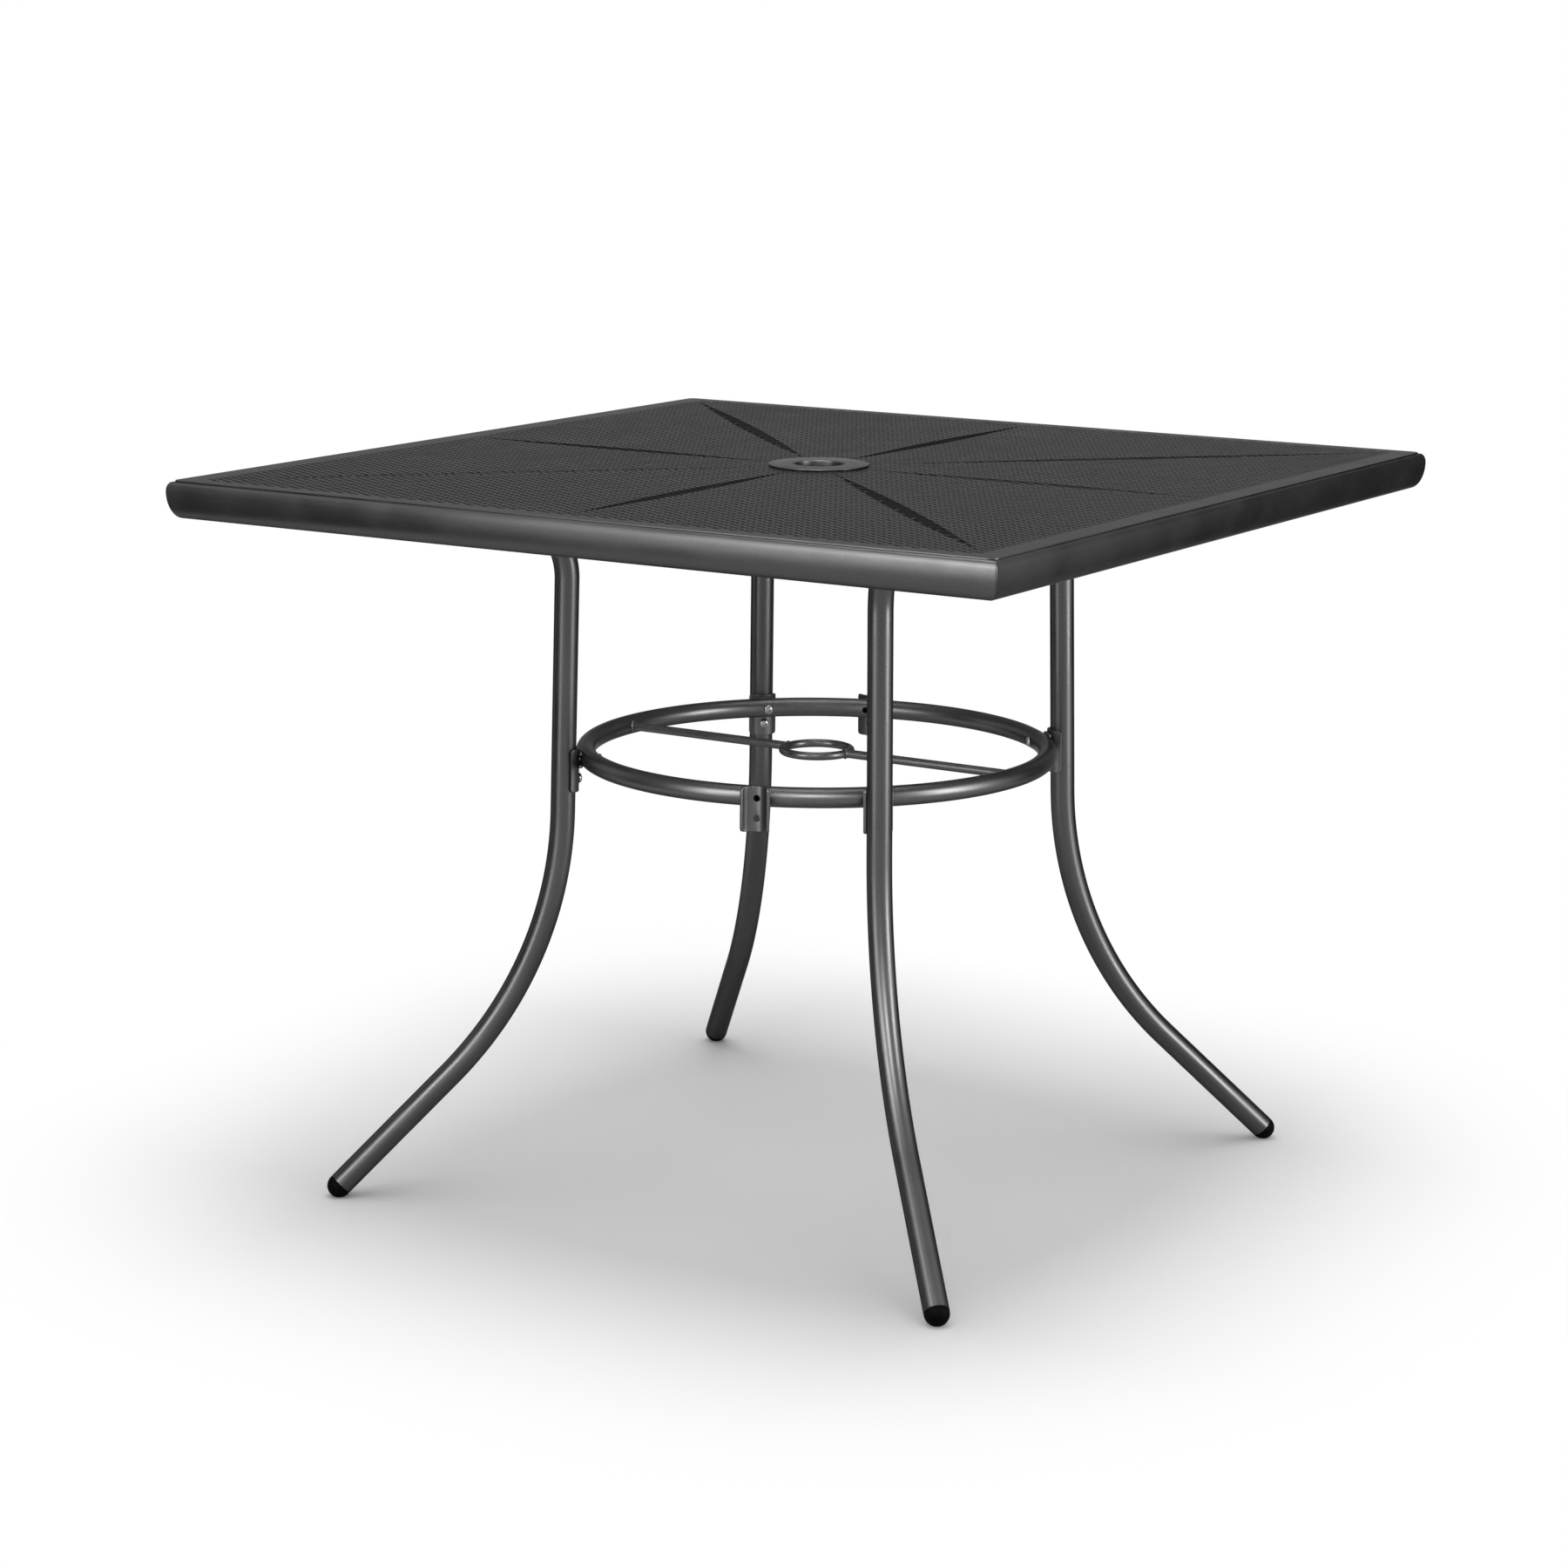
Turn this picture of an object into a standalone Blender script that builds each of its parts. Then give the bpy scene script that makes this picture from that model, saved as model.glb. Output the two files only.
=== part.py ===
"""Square garden table of powder-coated steel, with a perforated top and an umbrella hole.

Metres, +Z up. The origin is on the floor under the middle of the top, and the front is -Y.
The four legs stand on the diagonals and hold a stretcher ring with a small umbrella ring.
"""

import math

import bmesh
import bpy
from mathutils import Matrix, Vector

# Clearance between pieces that touch
touch_gap = 0.0003

# Top sheet
table_side = 0.940
table_height = 0.750
sheet_thickness = 0.0012
sheet_inset = 0.005
sheet_corner_radius = 0.008

# Openings in the top sheet: each stands for a field of the real small slots
openings_across = 12
opening_border = 0.026
opening_bar = 0.018
opening_row_gap = 0.035
opening_margin = 0.0035
hub_margin = 0.005
smallest_opening = 0.0001

# Grooves pressed down into the sheet
groove_count = 8
groove_depth = 0.004
groove_half_width = 0.0065
groove_start = 0.060
groove_end_margin = 0.012
groove_steps = 6

# Roll-formed rim rails
rim_height = 0.038
rail_wall = 0.0012
shoulder_reach = 0.005
shoulder_height = 0.0095
belly_reach = 0.012
flange_reach = 0.025
base_width = 0.004
lip_radius = 0.003
lip_height = 0.005
shoulder_steps = 5
belly_steps = 8
lip_steps = 3

# Umbrella hole
hub_plate_radius = 0.052
hub_plate_thickness = 0.002
hub_plate_rounding = 0.0008
sleeve_bore_radius = 0.025
sleeve_wall = 0.0015
sleeve_length = 0.030
hub_sides = 32

# Legs: a bent round tube in the plane of each diagonal
leg_tube_radius = 0.0127
leg_wall = 0.0012
leg_sides = 10
leg_lean = math.radians(1.4)
waist_radius = 0.2670
foot_reach = 0.505
knee_below_ring = 0.2156
knee_bend_radius = 0.395
top_bend_radius = 0.083
run_setback = 0.080
knee_steps = 6
top_bend_steps = 5

# Foot caps and top plugs
foot_flat_depth = 0.001
cap_stem_length = 0.018
plug_stem_length = 0.010
stem_chamfer = 0.001
plug_thickness = 0.0025
dome_steps = 5
cap_sides = 12

# Corner gussets, with the bolts and weld nuts of the leg runs
gusset_thickness = 0.003
gusset_length = 0.240
gusset_chamfer = 0.012
leg_bolt_setbacks = (0.100, 0.155)
nut_radius = 0.0057
nut_height = 0.004

# Stretcher ring
ring_height = 0.4526
ring_tube_radius = 0.01025
ring_wall = 0.0012
ring_segments = 48
ring_sides = 8

# Saddle plates on the ring
saddle_thickness = 0.003
saddle_half_angle = math.radians(70)
saddle_above = 0.012
saddle_below = 0.033
saddle_corner_radius = 0.004
saddle_columns = 12
weld_radius = 0.003
weld_length = 0.012
weld_sides = 8
spare_saddle_angles = {"front": -71.7, "back": 108.3}

# Bolts
bolt_radius = 0.003
bolt_head_radius = 0.00525
bolt_head_height = 0.003
bolt_end_reach = 0.008
lower_bolt_drop = 0.020
bolt_sides = 8

# Crossbar and umbrella ring
crossbar_radius = 0.0045
crossbar_sides = 10
umbrella_ring_radius = 0.0395
umbrella_rod_radius = 0.00425
umbrella_ring_segments = 32
umbrella_ring_sides = 8

# Worked-out places
corner_angles = {"front_left": 225.0, "front_right": -45.0, "back_right": 45.0, "back_left": 135.0}
side_angles = {"front": 0.0, "right": 90.0, "back": 180.0, "left": 270.0}
half_side = table_side / 2
opening_pitch = (table_side - 2 * opening_border) / openings_across
opening_length = opening_pitch - opening_bar
opening_width = opening_pitch - opening_row_gap
corner_diagonal = half_side * math.sqrt(2)
rail_top = table_height - sheet_thickness - touch_gap
fullest_height = rail_top - shoulder_height
gusset_bottom = fullest_height - gusset_thickness / 2
run_height = gusset_bottom - touch_gap - leg_tube_radius
knee_height = ring_height - knee_below_ring
saddle_half_step = saddle_half_angle / saddle_columns
saddle_inner_radius = (leg_tube_radius + touch_gap) / math.cos(saddle_half_step)
saddle_outer_radius = (leg_tube_radius + touch_gap + saddle_thickness) / math.cos(saddle_half_step)
ring_seat = saddle_outer_radius + touch_gap + ring_tube_radius
bracket_height = ring_height + ring_seat * math.sin(leg_lean)
bracket_radius = waist_radius - (bracket_height - ring_height) * math.tan(leg_lean)
ring_radius = bracket_radius - ring_seat * math.cos(leg_lean)
weld_height = math.sqrt(ring_tube_radius ** 2 - (ring_tube_radius - weld_radius) ** 2)
umbrella_loop_radius = umbrella_ring_radius - umbrella_rod_radius
bolt_hole_radius = (bolt_radius + touch_gap) / math.cos(math.pi / bolt_sides)
stem_radius = leg_tube_radius * math.cos(math.pi / leg_sides) - leg_wall - touch_gap


def empty_the_scene():
    """Remove every object that the file opened with."""
    for item in list(bpy.data.objects):
        bpy.data.objects.remove(item)


def new_collection(name):
    """Make a collection under the scene's own."""
    collection = bpy.data.collections.new(name)
    bpy.context.scene.collection.children.link(collection)
    return collection


def make_material(name, colour, roughness, metallic):
    """Make a Principled material of one plain colour."""
    material = bpy.data.materials.new(name)
    material.use_nodes = True
    shader = material.node_tree.nodes["Principled BSDF"]
    shader.inputs["Base Color"].default_value = (*colour, 1.0)
    shader.inputs["Roughness"].default_value = roughness
    shader.inputs["Metallic"].default_value = metallic
    return material


def add_part(name, mesh, material, matrix=None):
    """Add one named piece to the table, shaded smooth up to its sharp edges."""
    mesh.materials.clear()
    mesh.materials.append(material)
    mesh.shade_smooth()
    mesh.set_sharp_from_angle(angle=math.radians(38))
    part = bpy.data.objects.new(name, mesh)
    part.matrix_world = matrix or Matrix()
    parts.objects.link(part)
    return part


def add_cutter(name, mesh, matrix=None, collection=None):
    """Add a shape that only cuts or joins, hidden from renders."""
    cutter = bpy.data.objects.new(name, mesh)
    cutter.matrix_world = matrix or Matrix()
    cutter.hide_render = True
    cutter.display_type = "WIRE"
    (collection or cutters).objects.link(cutter)
    return cutter


def cut(part, cutter):
    """Cut one shape out of a piece."""
    modifier = part.modifiers.new("Cut " + cutter.name, "BOOLEAN")
    modifier.operation = "DIFFERENCE"
    modifier.object = cutter
    modifier.solver = "EXACT"


def join(part, shape):
    """Join one shape to a piece."""
    modifier = part.modifiers.new("Join " + shape.name, "BOOLEAN")
    modifier.operation = "UNION"
    modifier.object = shape
    modifier.solver = "EXACT"


def combine(part, collection, operation):
    """Join to a piece, or cut from it, every shape of a collection."""
    modifier = part.modifiers.new(operation.title() + " " + collection.name, "BOOLEAN")
    modifier.operation = operation
    modifier.operand_type = "COLLECTION"
    modifier.collection = collection
    modifier.solver = "EXACT"


def give_wall(part, wall, offset=-1.0):
    """Turn a piece's surface into a wall of even thickness."""
    modifier = part.modifiers.new("Wall", "SOLIDIFY")
    modifier.thickness = wall
    modifier.offset = offset
    modifier.use_even_offset = True


def mesh_from_curve(curve):
    """Read a curve as a mesh with its caps welded on, and remove the curve."""
    guide = bpy.data.objects.new(curve.name, curve)
    bpy.context.scene.collection.objects.link(guide)
    evaluated = guide.evaluated_get(bpy.context.evaluated_depsgraph_get())
    mesh = bpy.data.meshes.new_from_object(evaluated)
    bpy.data.objects.remove(guide)
    welded = bmesh.new()
    welded.from_mesh(mesh)
    bmesh.ops.remove_doubles(welded, verts=welded.verts, dist=0.00001)
    welded.to_mesh(mesh)
    welded.free()
    return mesh


def plate_mesh(name, loops, thickness):
    """Make a flat plate from its outline and its holes, centred on its own middle plane."""
    curve = bpy.data.curves.new(name, "CURVE")
    curve.dimensions = "2D"
    curve.fill_mode = "BOTH"
    curve.extrude = thickness / 2
    for loop in loops:
        spline = curve.splines.new("POLY")
        spline.points.add(len(loop) - 1)
        spline.use_cyclic_u = True
        for point, place in zip(spline.points, loop):
            point.co = (place[0], place[1], 0.0, 1.0)
    return mesh_from_curve(curve)


def tube_mesh(name, path, radius, sides):
    """Make the open outer surface of a tube along a path."""
    curve = bpy.data.curves.new(name, "CURVE")
    curve.dimensions = "3D"
    curve.bevel_depth = radius
    curve.bevel_resolution = sides // 2 - 2
    spline = curve.splines.new("POLY")
    spline.points.add(len(path) - 1)
    for point, place in zip(spline.points, path):
        point.co = (*place, 1.0)
    return mesh_from_curve(curve)


def cylinder_mesh(name, radius, length, sides):
    """Make a closed cylinder along Z, centred on its middle."""
    solid = bmesh.new()
    bmesh.ops.create_cone(
        solid, cap_ends=True, segments=sides, radius1=radius, radius2=radius, depth=length)
    mesh = bpy.data.meshes.new(name)
    solid.to_mesh(mesh)
    solid.free()
    return mesh


def profile_mesh(name, profile, closed=False):
    """Make the edges of a turned shape: radius and height, down its outer side."""
    mesh = bpy.data.meshes.new(name)
    count = len(profile)
    edges = [(index, index + 1) for index in range(count - 1)]
    if closed:
        edges.append((count - 1, 0))
    mesh.from_pydata([(radius, 0.0, height) for radius, height in profile], edges, [])
    return mesh


def add_turned(name, profile, material, sides, matrix=None):
    """Add a piece turned from a profile about its own Z axis."""
    part = add_part(name, profile, material, matrix)
    modifier = part.modifiers.new("Turn", "SCREW")
    modifier.axis = "Z"
    modifier.steps = sides
    modifier.render_steps = sides
    modifier.use_merge_vertices = True
    modifier.merge_threshold = 0.00001
    modifier.use_smooth_shade = True
    return part


def torus_mesh(name, ring, tube, segments, sides):
    """Make a torus that lies flat at the height of the stretcher ring."""
    bpy.ops.mesh.primitive_torus_add(
        major_segments=segments, minor_segments=sides, major_radius=ring, minor_radius=tube)
    torus = bpy.context.object
    mesh = torus.data
    mesh.name = name
    bpy.data.objects.remove(torus)
    mesh.transform(Matrix.Translation((0.0, 0.0, ring_height)))
    return mesh


def arc(centre, reach, height, start, end, steps):
    """Give the points of an elliptical arc, from one angle to another."""
    points = []
    for index in range(steps + 1):
        angle = start + (end - start) * index / steps
        points.append((centre[0] + reach * math.cos(angle), centre[1] + height * math.sin(angle)))
    return points


def rounded_square(half, radius, steps=4):
    """Give the outline of a square with rounded corners."""
    points = []
    for quarter in range(4):
        middle = math.pi / 4 + quarter * math.pi / 2
        inset = (half - radius) * math.sqrt(2)
        centre = (inset * math.cos(middle), inset * math.sin(middle))
        points += arc(centre, radius, radius, middle - math.pi / 4, middle + math.pi / 4, steps)
    return points


def offset_line(line, distance):
    """Move an open line sideways to its left, with its corners mitred."""
    points = [Vector(place) for place in line]
    moved = []
    for index, point in enumerate(points):
        before = points[max(index - 1, 0)]
        after = points[min(index + 1, len(points) - 1)]
        into = (point - before).normalized() if index > 0 else (after - point).normalized()
        out = (after - point).normalized() if index < len(points) - 1 else into
        bisector = (into + out).normalized()
        left = Vector((-bisector.y, bisector.x))
        moved.append(tuple(point + left * distance / bisector.dot(into)))
    return moved


def bent_path(corners, radii, steps):
    """Round the corners of a path in the XZ plane with arcs of the given radii."""
    path = [corners[0]]
    for index in range(1, len(corners) - 1):
        corner = corners[index]
        into = (corner - corners[index - 1]).normalized()
        out = (corners[index + 1] - corner).normalized()
        turn = into.angle(out)
        radius = radii[index - 1]
        start = corner - into * radius * math.tan(turn / 2)
        side = (out - into * out.dot(into)).normalized()
        centre = start + side * radius
        for step in range(steps[index - 1] + 1):
            angle = turn * step / steps[index - 1]
            path.append(centre - side * radius * math.cos(angle) + into * radius * math.sin(angle))
    path.append(corners[-1])
    return path


def around(angle):
    """Turn about the table's upright axis, by degrees."""
    return Matrix.Rotation(math.radians(angle), 4, "Z")


def bracket_frame(angle):
    """Frame on a leg's axis at the ring: X to the table's middle, Z up along the leg."""
    place = Matrix.Translation((bracket_radius, 0.0, bracket_height))
    facing = Matrix.Rotation(math.pi, 4, "Z") @ Matrix.Rotation(leg_lean, 4, "Y")
    return around(angle) @ place @ facing


def leg_corners():
    """Corners of a leg's centre line: tube end at the foot, knee, shoulder, and end of the run."""
    dome = Vector((foot_reach, 0.0, leg_tube_radius - foot_flat_depth))
    knee_radius = waist_radius + knee_below_ring * math.tan(leg_lean)
    knee = Vector((knee_radius, 0.0, knee_height))
    shoulder_radius = waist_radius - (run_height - ring_height) * math.tan(leg_lean)
    shoulder = Vector((shoulder_radius, 0.0, run_height))
    run_end = Vector((corner_diagonal - run_setback, 0.0, run_height))
    tube_end = dome + (knee - dome).normalized() * touch_gap
    return dome, tube_end, knee, shoulder, run_end


def aim(place, direction):
    """Frame at a place in the XZ plane, with its Z axis along a direction."""
    tilt = math.atan2(direction.x, direction.z)
    return Matrix.Translation(place) @ Matrix.Rotation(tilt, 4, "Y")


def groove_lines():
    """Directions of the grooves, in degrees, with the radius where each runs out."""
    flange_line = half_side - flange_reach - groove_end_margin
    lines = []
    for index in range(groove_count):
        angle = index * 360 / groove_count
        to_edge = max(abs(math.cos(math.radians(angle))), abs(math.sin(math.radians(angle))))
        lines.append((angle, flange_line / to_edge))
    return lines


def trough_mesh(name, end, level, drop):
    """Make a V-shaped trough from the hub outwards, deepest half way, closed at a level."""
    solid = bmesh.new()
    slope = groove_half_width / groove_depth
    sections = []
    for index in range(groove_steps + 1):
        share = index / groove_steps
        along = groove_start + (end - groove_start) * share
        apex = table_height - groove_depth * math.sin(math.pi * share) - drop
        half_width = (level - apex) * slope
        section = [(along, -half_width, level), (along, half_width, level), (along, 0.0, apex)]
        sections.append([solid.verts.new(place) for place in section])
    solid.faces.new(reversed(sections[0]))
    solid.faces.new(sections[-1])
    for near, far in zip(sections, sections[1:]):
        for corner in range(3):
            follower = (corner + 1) % 3
            solid.faces.new((near[corner], near[follower], far[follower], far[corner]))
    bmesh.ops.recalc_face_normals(solid, faces=solid.faces)
    mesh = bpy.data.meshes.new(name)
    solid.to_mesh(mesh)
    solid.free()
    return mesh


def clipped(polygon, normal, distance):
    """Keep the part of a polygon that lies beyond a line, at a distance along its normal."""
    kept = []
    for index, corner in enumerate(polygon):
        before = polygon[index - 1]
        depth = corner.dot(normal) - distance
        depth_before = before.dot(normal) - distance
        if depth * depth_before < 0:
            kept.append(before.lerp(corner, depth_before / (depth_before - depth)))
        if depth >= 0:
            kept.append(corner)
    return kept


def polygon_area(polygon):
    """Area of a flat polygon."""
    return sum(polygon[index - 1].cross(corner) for index, corner in enumerate(polygon)) / 2


def openings():
    """Outlines of the sheet's openings, each kept off the hub plate and off every groove."""
    clearance = groove_half_width + opening_margin
    outlines = []
    for column in range(openings_across):
        for row in range(openings_across):
            x = (column - (openings_across - 1) / 2) * opening_pitch
            y = (row - (openings_across - 1) / 2) * opening_pitch
            near_x = max(abs(x) - opening_length / 2, 0.0)
            near_y = max(abs(y) - opening_width / 2, 0.0)
            if math.hypot(near_x, near_y) < hub_plate_radius + hub_margin:
                continue
            left, right = x - opening_length / 2, x + opening_length / 2
            low, high = y - opening_width / 2, y + opening_width / 2
            whole = [Vector((left, low)), Vector((right, low)), Vector((right, high)), Vector((left, high))]
            for sector in range(groove_count):
                start = math.tau * sector / groove_count
                end = math.tau * (sector + 1) / groove_count
                share = clipped(whole, Vector((-math.sin(start), math.cos(start))), clearance)
                share = clipped(share, Vector((math.sin(end), -math.cos(end))), clearance)
                if len(share) > 2 and polygon_area(share) > smallest_opening:
                    outlines.append([tuple(corner) for corner in share])
    return outlines


def sheet_mesh():
    """Flat top sheet: rounded square, umbrella hole and openings."""
    hole = sleeve_bore_radius + sleeve_wall + touch_gap
    loops = [rounded_square(half_side - sheet_inset, sheet_corner_radius)]
    loops.append(arc((0.0, 0.0), hole, hole, 0.0, math.tau * (1 - 1 / hub_sides), hub_sides - 1))
    loops += openings()
    return plate_mesh("top_panel", loops, sheet_thickness)


def add_top_panel(mesh):
    """Top sheet with the grooves pressed into it."""
    middle = table_height - sheet_thickness / 2
    panel = add_part("top_panel", mesh, paint, Matrix.Translation((0.0, 0.0, middle)))
    steepness = math.hypot(1.0, groove_depth / groove_half_width)
    for index, (angle, end) in enumerate(groove_lines()):
        keel = trough_mesh("groove_keel", end, middle, sheet_thickness * steepness)
        hollow = trough_mesh("groove_hollow", end, table_height + sheet_thickness, 0.0)
        add_cutter(f"groove_keel_{index}", keel, around(angle), groove_keels)
        add_cutter(f"groove_hollow_{index}", hollow, around(angle), groove_hollows)
    combine(panel, groove_keels, "UNION")
    combine(panel, groove_hollows, "DIFFERENCE")


def rail_profile():
    """Section of a rim rail: distance in from the fullest line, and height."""
    fullest = (0.0, fullest_height)
    bottom = table_height - rim_height
    shoulder_centre = (shoulder_reach, fullest[1])
    belly_centre = (belly_reach, fullest[1])
    belly_height = fullest[1] - bottom
    line = [(flange_reach, rail_top)]
    line += arc(shoulder_centre, shoulder_reach, shoulder_height, math.pi / 2, math.pi, shoulder_steps)
    line += arc(belly_centre, belly_reach, belly_height, math.pi, math.pi * 1.5, belly_steps)[1:]
    lip_centre = (belly_reach + base_width, bottom + lip_radius)
    line += arc(lip_centre, lip_radius, lip_radius, -math.pi / 2, 0.0, lip_steps)
    line.append((line[-1][0], line[-1][1] + lip_height))
    return line + offset_line(line, rail_wall)[::-1]


def rail_mesh():
    """Rail of the rim's section, sheared at both ends to the mitre of the corners."""
    mesh = plate_mesh("rim_rail", [rail_profile()], table_side)
    for vertex in mesh.vertices:
        reach = half_side - vertex.co.x - touch_gap / math.sqrt(2)
        vertex.co.z = math.copysign(reach, vertex.co.z)
    return mesh


def add_rim_rails(mesh):
    """Four rails of one section around the top."""
    lay = Matrix(((0, 0, 1, 0), (1, 0, 0, -half_side), (0, 1, 0, 0), (0, 0, 0, 1)))
    for side, angle in side_angles.items():
        add_part(f"rim_rail_{side}", mesh, paint, around(angle) @ lay)


def add_umbrella_hole():
    """Round plate on the sheet, and the sleeve that lines the umbrella hole."""
    sleeve_radius = sleeve_bore_radius + sleeve_wall
    bottom = table_height + touch_gap
    top = bottom + hub_plate_thickness
    rounding = hub_plate_rounding
    rounded = arc((hub_plate_radius - rounding, top - rounding), rounding, rounding, math.pi / 2, 0.0, 3)
    inner = sleeve_radius + touch_gap
    plate = [(inner, top)] + rounded + [(hub_plate_radius, bottom), (inner, bottom)]
    add_turned("umbrella_plate", profile_mesh("umbrella_plate", plate, True), hub_paint, hub_sides)
    sleeve = [
        (sleeve_bore_radius, top), (sleeve_radius, top),
        (sleeve_radius, top - sleeve_length), (sleeve_bore_radius, top - sleeve_length)]
    add_turned("umbrella_sleeve", profile_mesh("umbrella_sleeve", sleeve, True), paint, hub_sides)


def bolt_profile(length):
    """Button-head bolt: seat of the head at height 0, shank downwards."""
    head = arc((0.0, 0.0), bolt_head_radius, bolt_head_height, math.pi / 2, 0.0, 3)
    return head + [(bolt_radius, 0.0), (bolt_radius, -length), (0.0, -length)]


def add_bolt(name, frame, length):
    """Add a bolt whose head points along a frame's Z axis."""
    add_turned(name, profile_mesh("bolt", bolt_profile(length)), bolt_steel, bolt_sides, frame)


def bolt_hole(name, frame, start, end):
    """Cutter for a bolt hole along a frame's Z axis, turned so that flats face the ring's edges."""
    mesh = cylinder_mesh(name, bolt_hole_radius, end - start, bolt_sides)
    half_turn = Matrix.Rotation(math.pi / bolt_sides, 4, "Z")
    return add_cutter(name, mesh, frame @ Matrix.Translation((0.0, 0.0, (start + end) / 2)) @ half_turn)


def stem_profile(length):
    """Chamfered stem that plugs into the end of a leg tube."""
    return [
        (0.0, length), (stem_radius - stem_chamfer, length),
        (stem_radius, length - stem_chamfer), (stem_radius, 0.0)]


def cap_profile():
    """Foot cap: stem in the tube, shoulder under its end, and a dome of the tube's radius."""
    stem = stem_profile(cap_stem_length)
    return stem + arc((0.0, 0.0), leg_tube_radius, leg_tube_radius, 0.0, -math.pi / 2, dome_steps)


def plug_profile():
    """Plug for the end of a leg's top run: a stem and a flat round head."""
    edge = leg_tube_radius
    return stem_profile(plug_stem_length) + [
        (edge, 0.0), (edge, -plug_thickness / 2),
        (edge - plug_thickness / 2, -plug_thickness), (0.0, -plug_thickness)]


def leg_mesh():
    """Outer surface of a leg tube, in the plane of its diagonal."""
    path = bent_path(
        leg_corners()[1:], [knee_bend_radius, top_bend_radius], [knee_steps, top_bend_steps])
    return tube_mesh("leg", path, leg_tube_radius, leg_sides)


def add_leg(corner, angle, mesh):
    """One leg tube with its foot cap and its top plug."""
    dome, tube_end, knee, shoulder, run_end = leg_corners()
    turn = around(angle)
    leg = add_part(f"leg_{corner}", mesh, paint, turn)
    give_wall(leg, leg_wall)
    cap_frame = turn @ aim(dome, knee - dome)
    cap = add_turned(f"foot_cap_{corner}", profile_mesh("foot_cap", cap_profile()), plastic,
                     cap_sides, cap_frame)
    cut(cap, floor_cutter)
    plug_place = run_end + Vector((touch_gap, 0.0, 0.0))
    plug_frame = turn @ aim(plug_place, shoulder - run_end)
    add_turned(f"leg_plug_{corner}", profile_mesh("leg_plug", plug_profile()), plastic,
               cap_sides, plug_frame)
    return leg


def gusset_mesh():
    """Gusset plate across the corner of the rim at 45 degrees."""
    edge = half_side - rail_wall - 2 * touch_gap
    outline = [
        (edge, edge - gusset_length), (edge, edge - gusset_chamfer),
        (edge - gusset_chamfer, edge), (edge - gusset_length, edge)]
    return plate_mesh("corner_gusset", [outline], gusset_thickness)


def add_corner_gusset(corner, angle, mesh):
    """Gusset plate at one corner."""
    frame = around(angle - 45) @ Matrix.Translation((0.0, 0.0, fullest_height))
    return add_part(f"corner_gusset_{corner}", mesh, paint, frame)


def add_run_bolts(corner, angle, leg, gusset):
    """Bolts up through a leg's top run and the gusset into weld nuts."""
    seat = run_height - leg_tube_radius - touch_gap
    nut_bottom = gusset_bottom + gusset_thickness + touch_gap
    nut_mesh = cylinder_mesh("weld_nut", nut_radius, nut_height, 6)
    head_down = Matrix.Rotation(math.pi, 4, "X")
    for number, setback in enumerate(leg_bolt_setbacks, 1):
        place = around(angle) @ Matrix.Translation((corner_diagonal - setback, 0.0, 0.0))
        up = place @ Matrix.Translation((0.0, 0.0, seat))
        hole = bolt_hole(f"run_hole_{corner}_{number}", up, -touch_gap, nut_bottom + 2 * nut_height - seat)
        nut_frame = place @ Matrix.Translation((0.0, 0.0, nut_bottom + nut_height / 2))
        nut = add_part(f"weld_nut_{corner}_{number}", nut_mesh, bolt_steel, nut_frame)
        for part in (leg, gusset, nut):
            cut(part, hole)
        add_bolt(f"leg_bolt_{corner}_{number}", up @ head_down, nut_bottom + nut_height - seat)


def saddle_mesh():
    """Inner face of a saddle plate, bent round the leg, with rounded corners."""
    sheet = bmesh.new()
    bmesh.ops.create_grid(sheet, x_segments=saddle_columns, y_segments=1, size=0.5)
    half_height = (saddle_above + saddle_below) / 2
    half_arc = saddle_half_angle * saddle_inner_radius
    for vertex in sheet.verts:
        angle = vertex.co.x * 2 * saddle_half_angle
        into_corner = max(abs(angle) * saddle_inner_radius - half_arc + saddle_corner_radius, 0.0)
        rounding = saddle_corner_radius - math.sqrt(saddle_corner_radius ** 2 - into_corner ** 2)
        height = math.copysign(half_height - rounding, vertex.co.y)
        vertex.co.x = saddle_inner_radius * math.cos(angle)
        vertex.co.y = saddle_inner_radius * math.sin(angle)
        vertex.co.z = height + (saddle_above - saddle_below) / 2
    mesh = bpy.data.meshes.new("ring_saddle")
    sheet.to_mesh(mesh)
    sheet.free()
    return mesh


def add_weld_beads(saddle, name, frame):
    """Weld beads in the crevices above and below the ring, coped to its tube."""
    mesh = cylinder_mesh("weld_bead", weld_radius, weld_length, weld_sides)
    crosswise = Matrix.Rotation(math.pi / 2, 4, "X")
    for side, height in (("above", weld_height), ("below", -weld_height)):
        place = Matrix.Translation((saddle_outer_radius + weld_radius / 2, 0.0, height))
        join(saddle, add_cutter(f"weld_{side}_{name}", mesh, frame @ place @ crosswise))
    cut(saddle, ring_cope)


def add_saddle(name, angle, pierced):
    """Saddle plate welded to the ring, with an upper hole through the ring and a lower one."""
    frame = bracket_frame(angle)
    saddle = add_part(f"ring_saddle_{name}", saddle_mesh(), paint, frame)
    give_wall(saddle, saddle_thickness, 1.0)
    add_weld_beads(saddle, name, frame)
    inward = frame @ Matrix.Rotation(math.pi / 2, 4, "Y")
    end = ring_seat + 2 * ring_tube_radius
    upper = bolt_hole(f"upper_hole_{name}", inward, 0.0, end)
    lower = bolt_hole(f"lower_hole_{name}", inward @ Matrix.Translation((lower_bolt_drop, 0.0, 0.0)), 0.0, end)
    for part in [saddle] + pierced:
        cut(part, upper)
    cut(saddle, lower)
    return inward, lower


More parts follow.
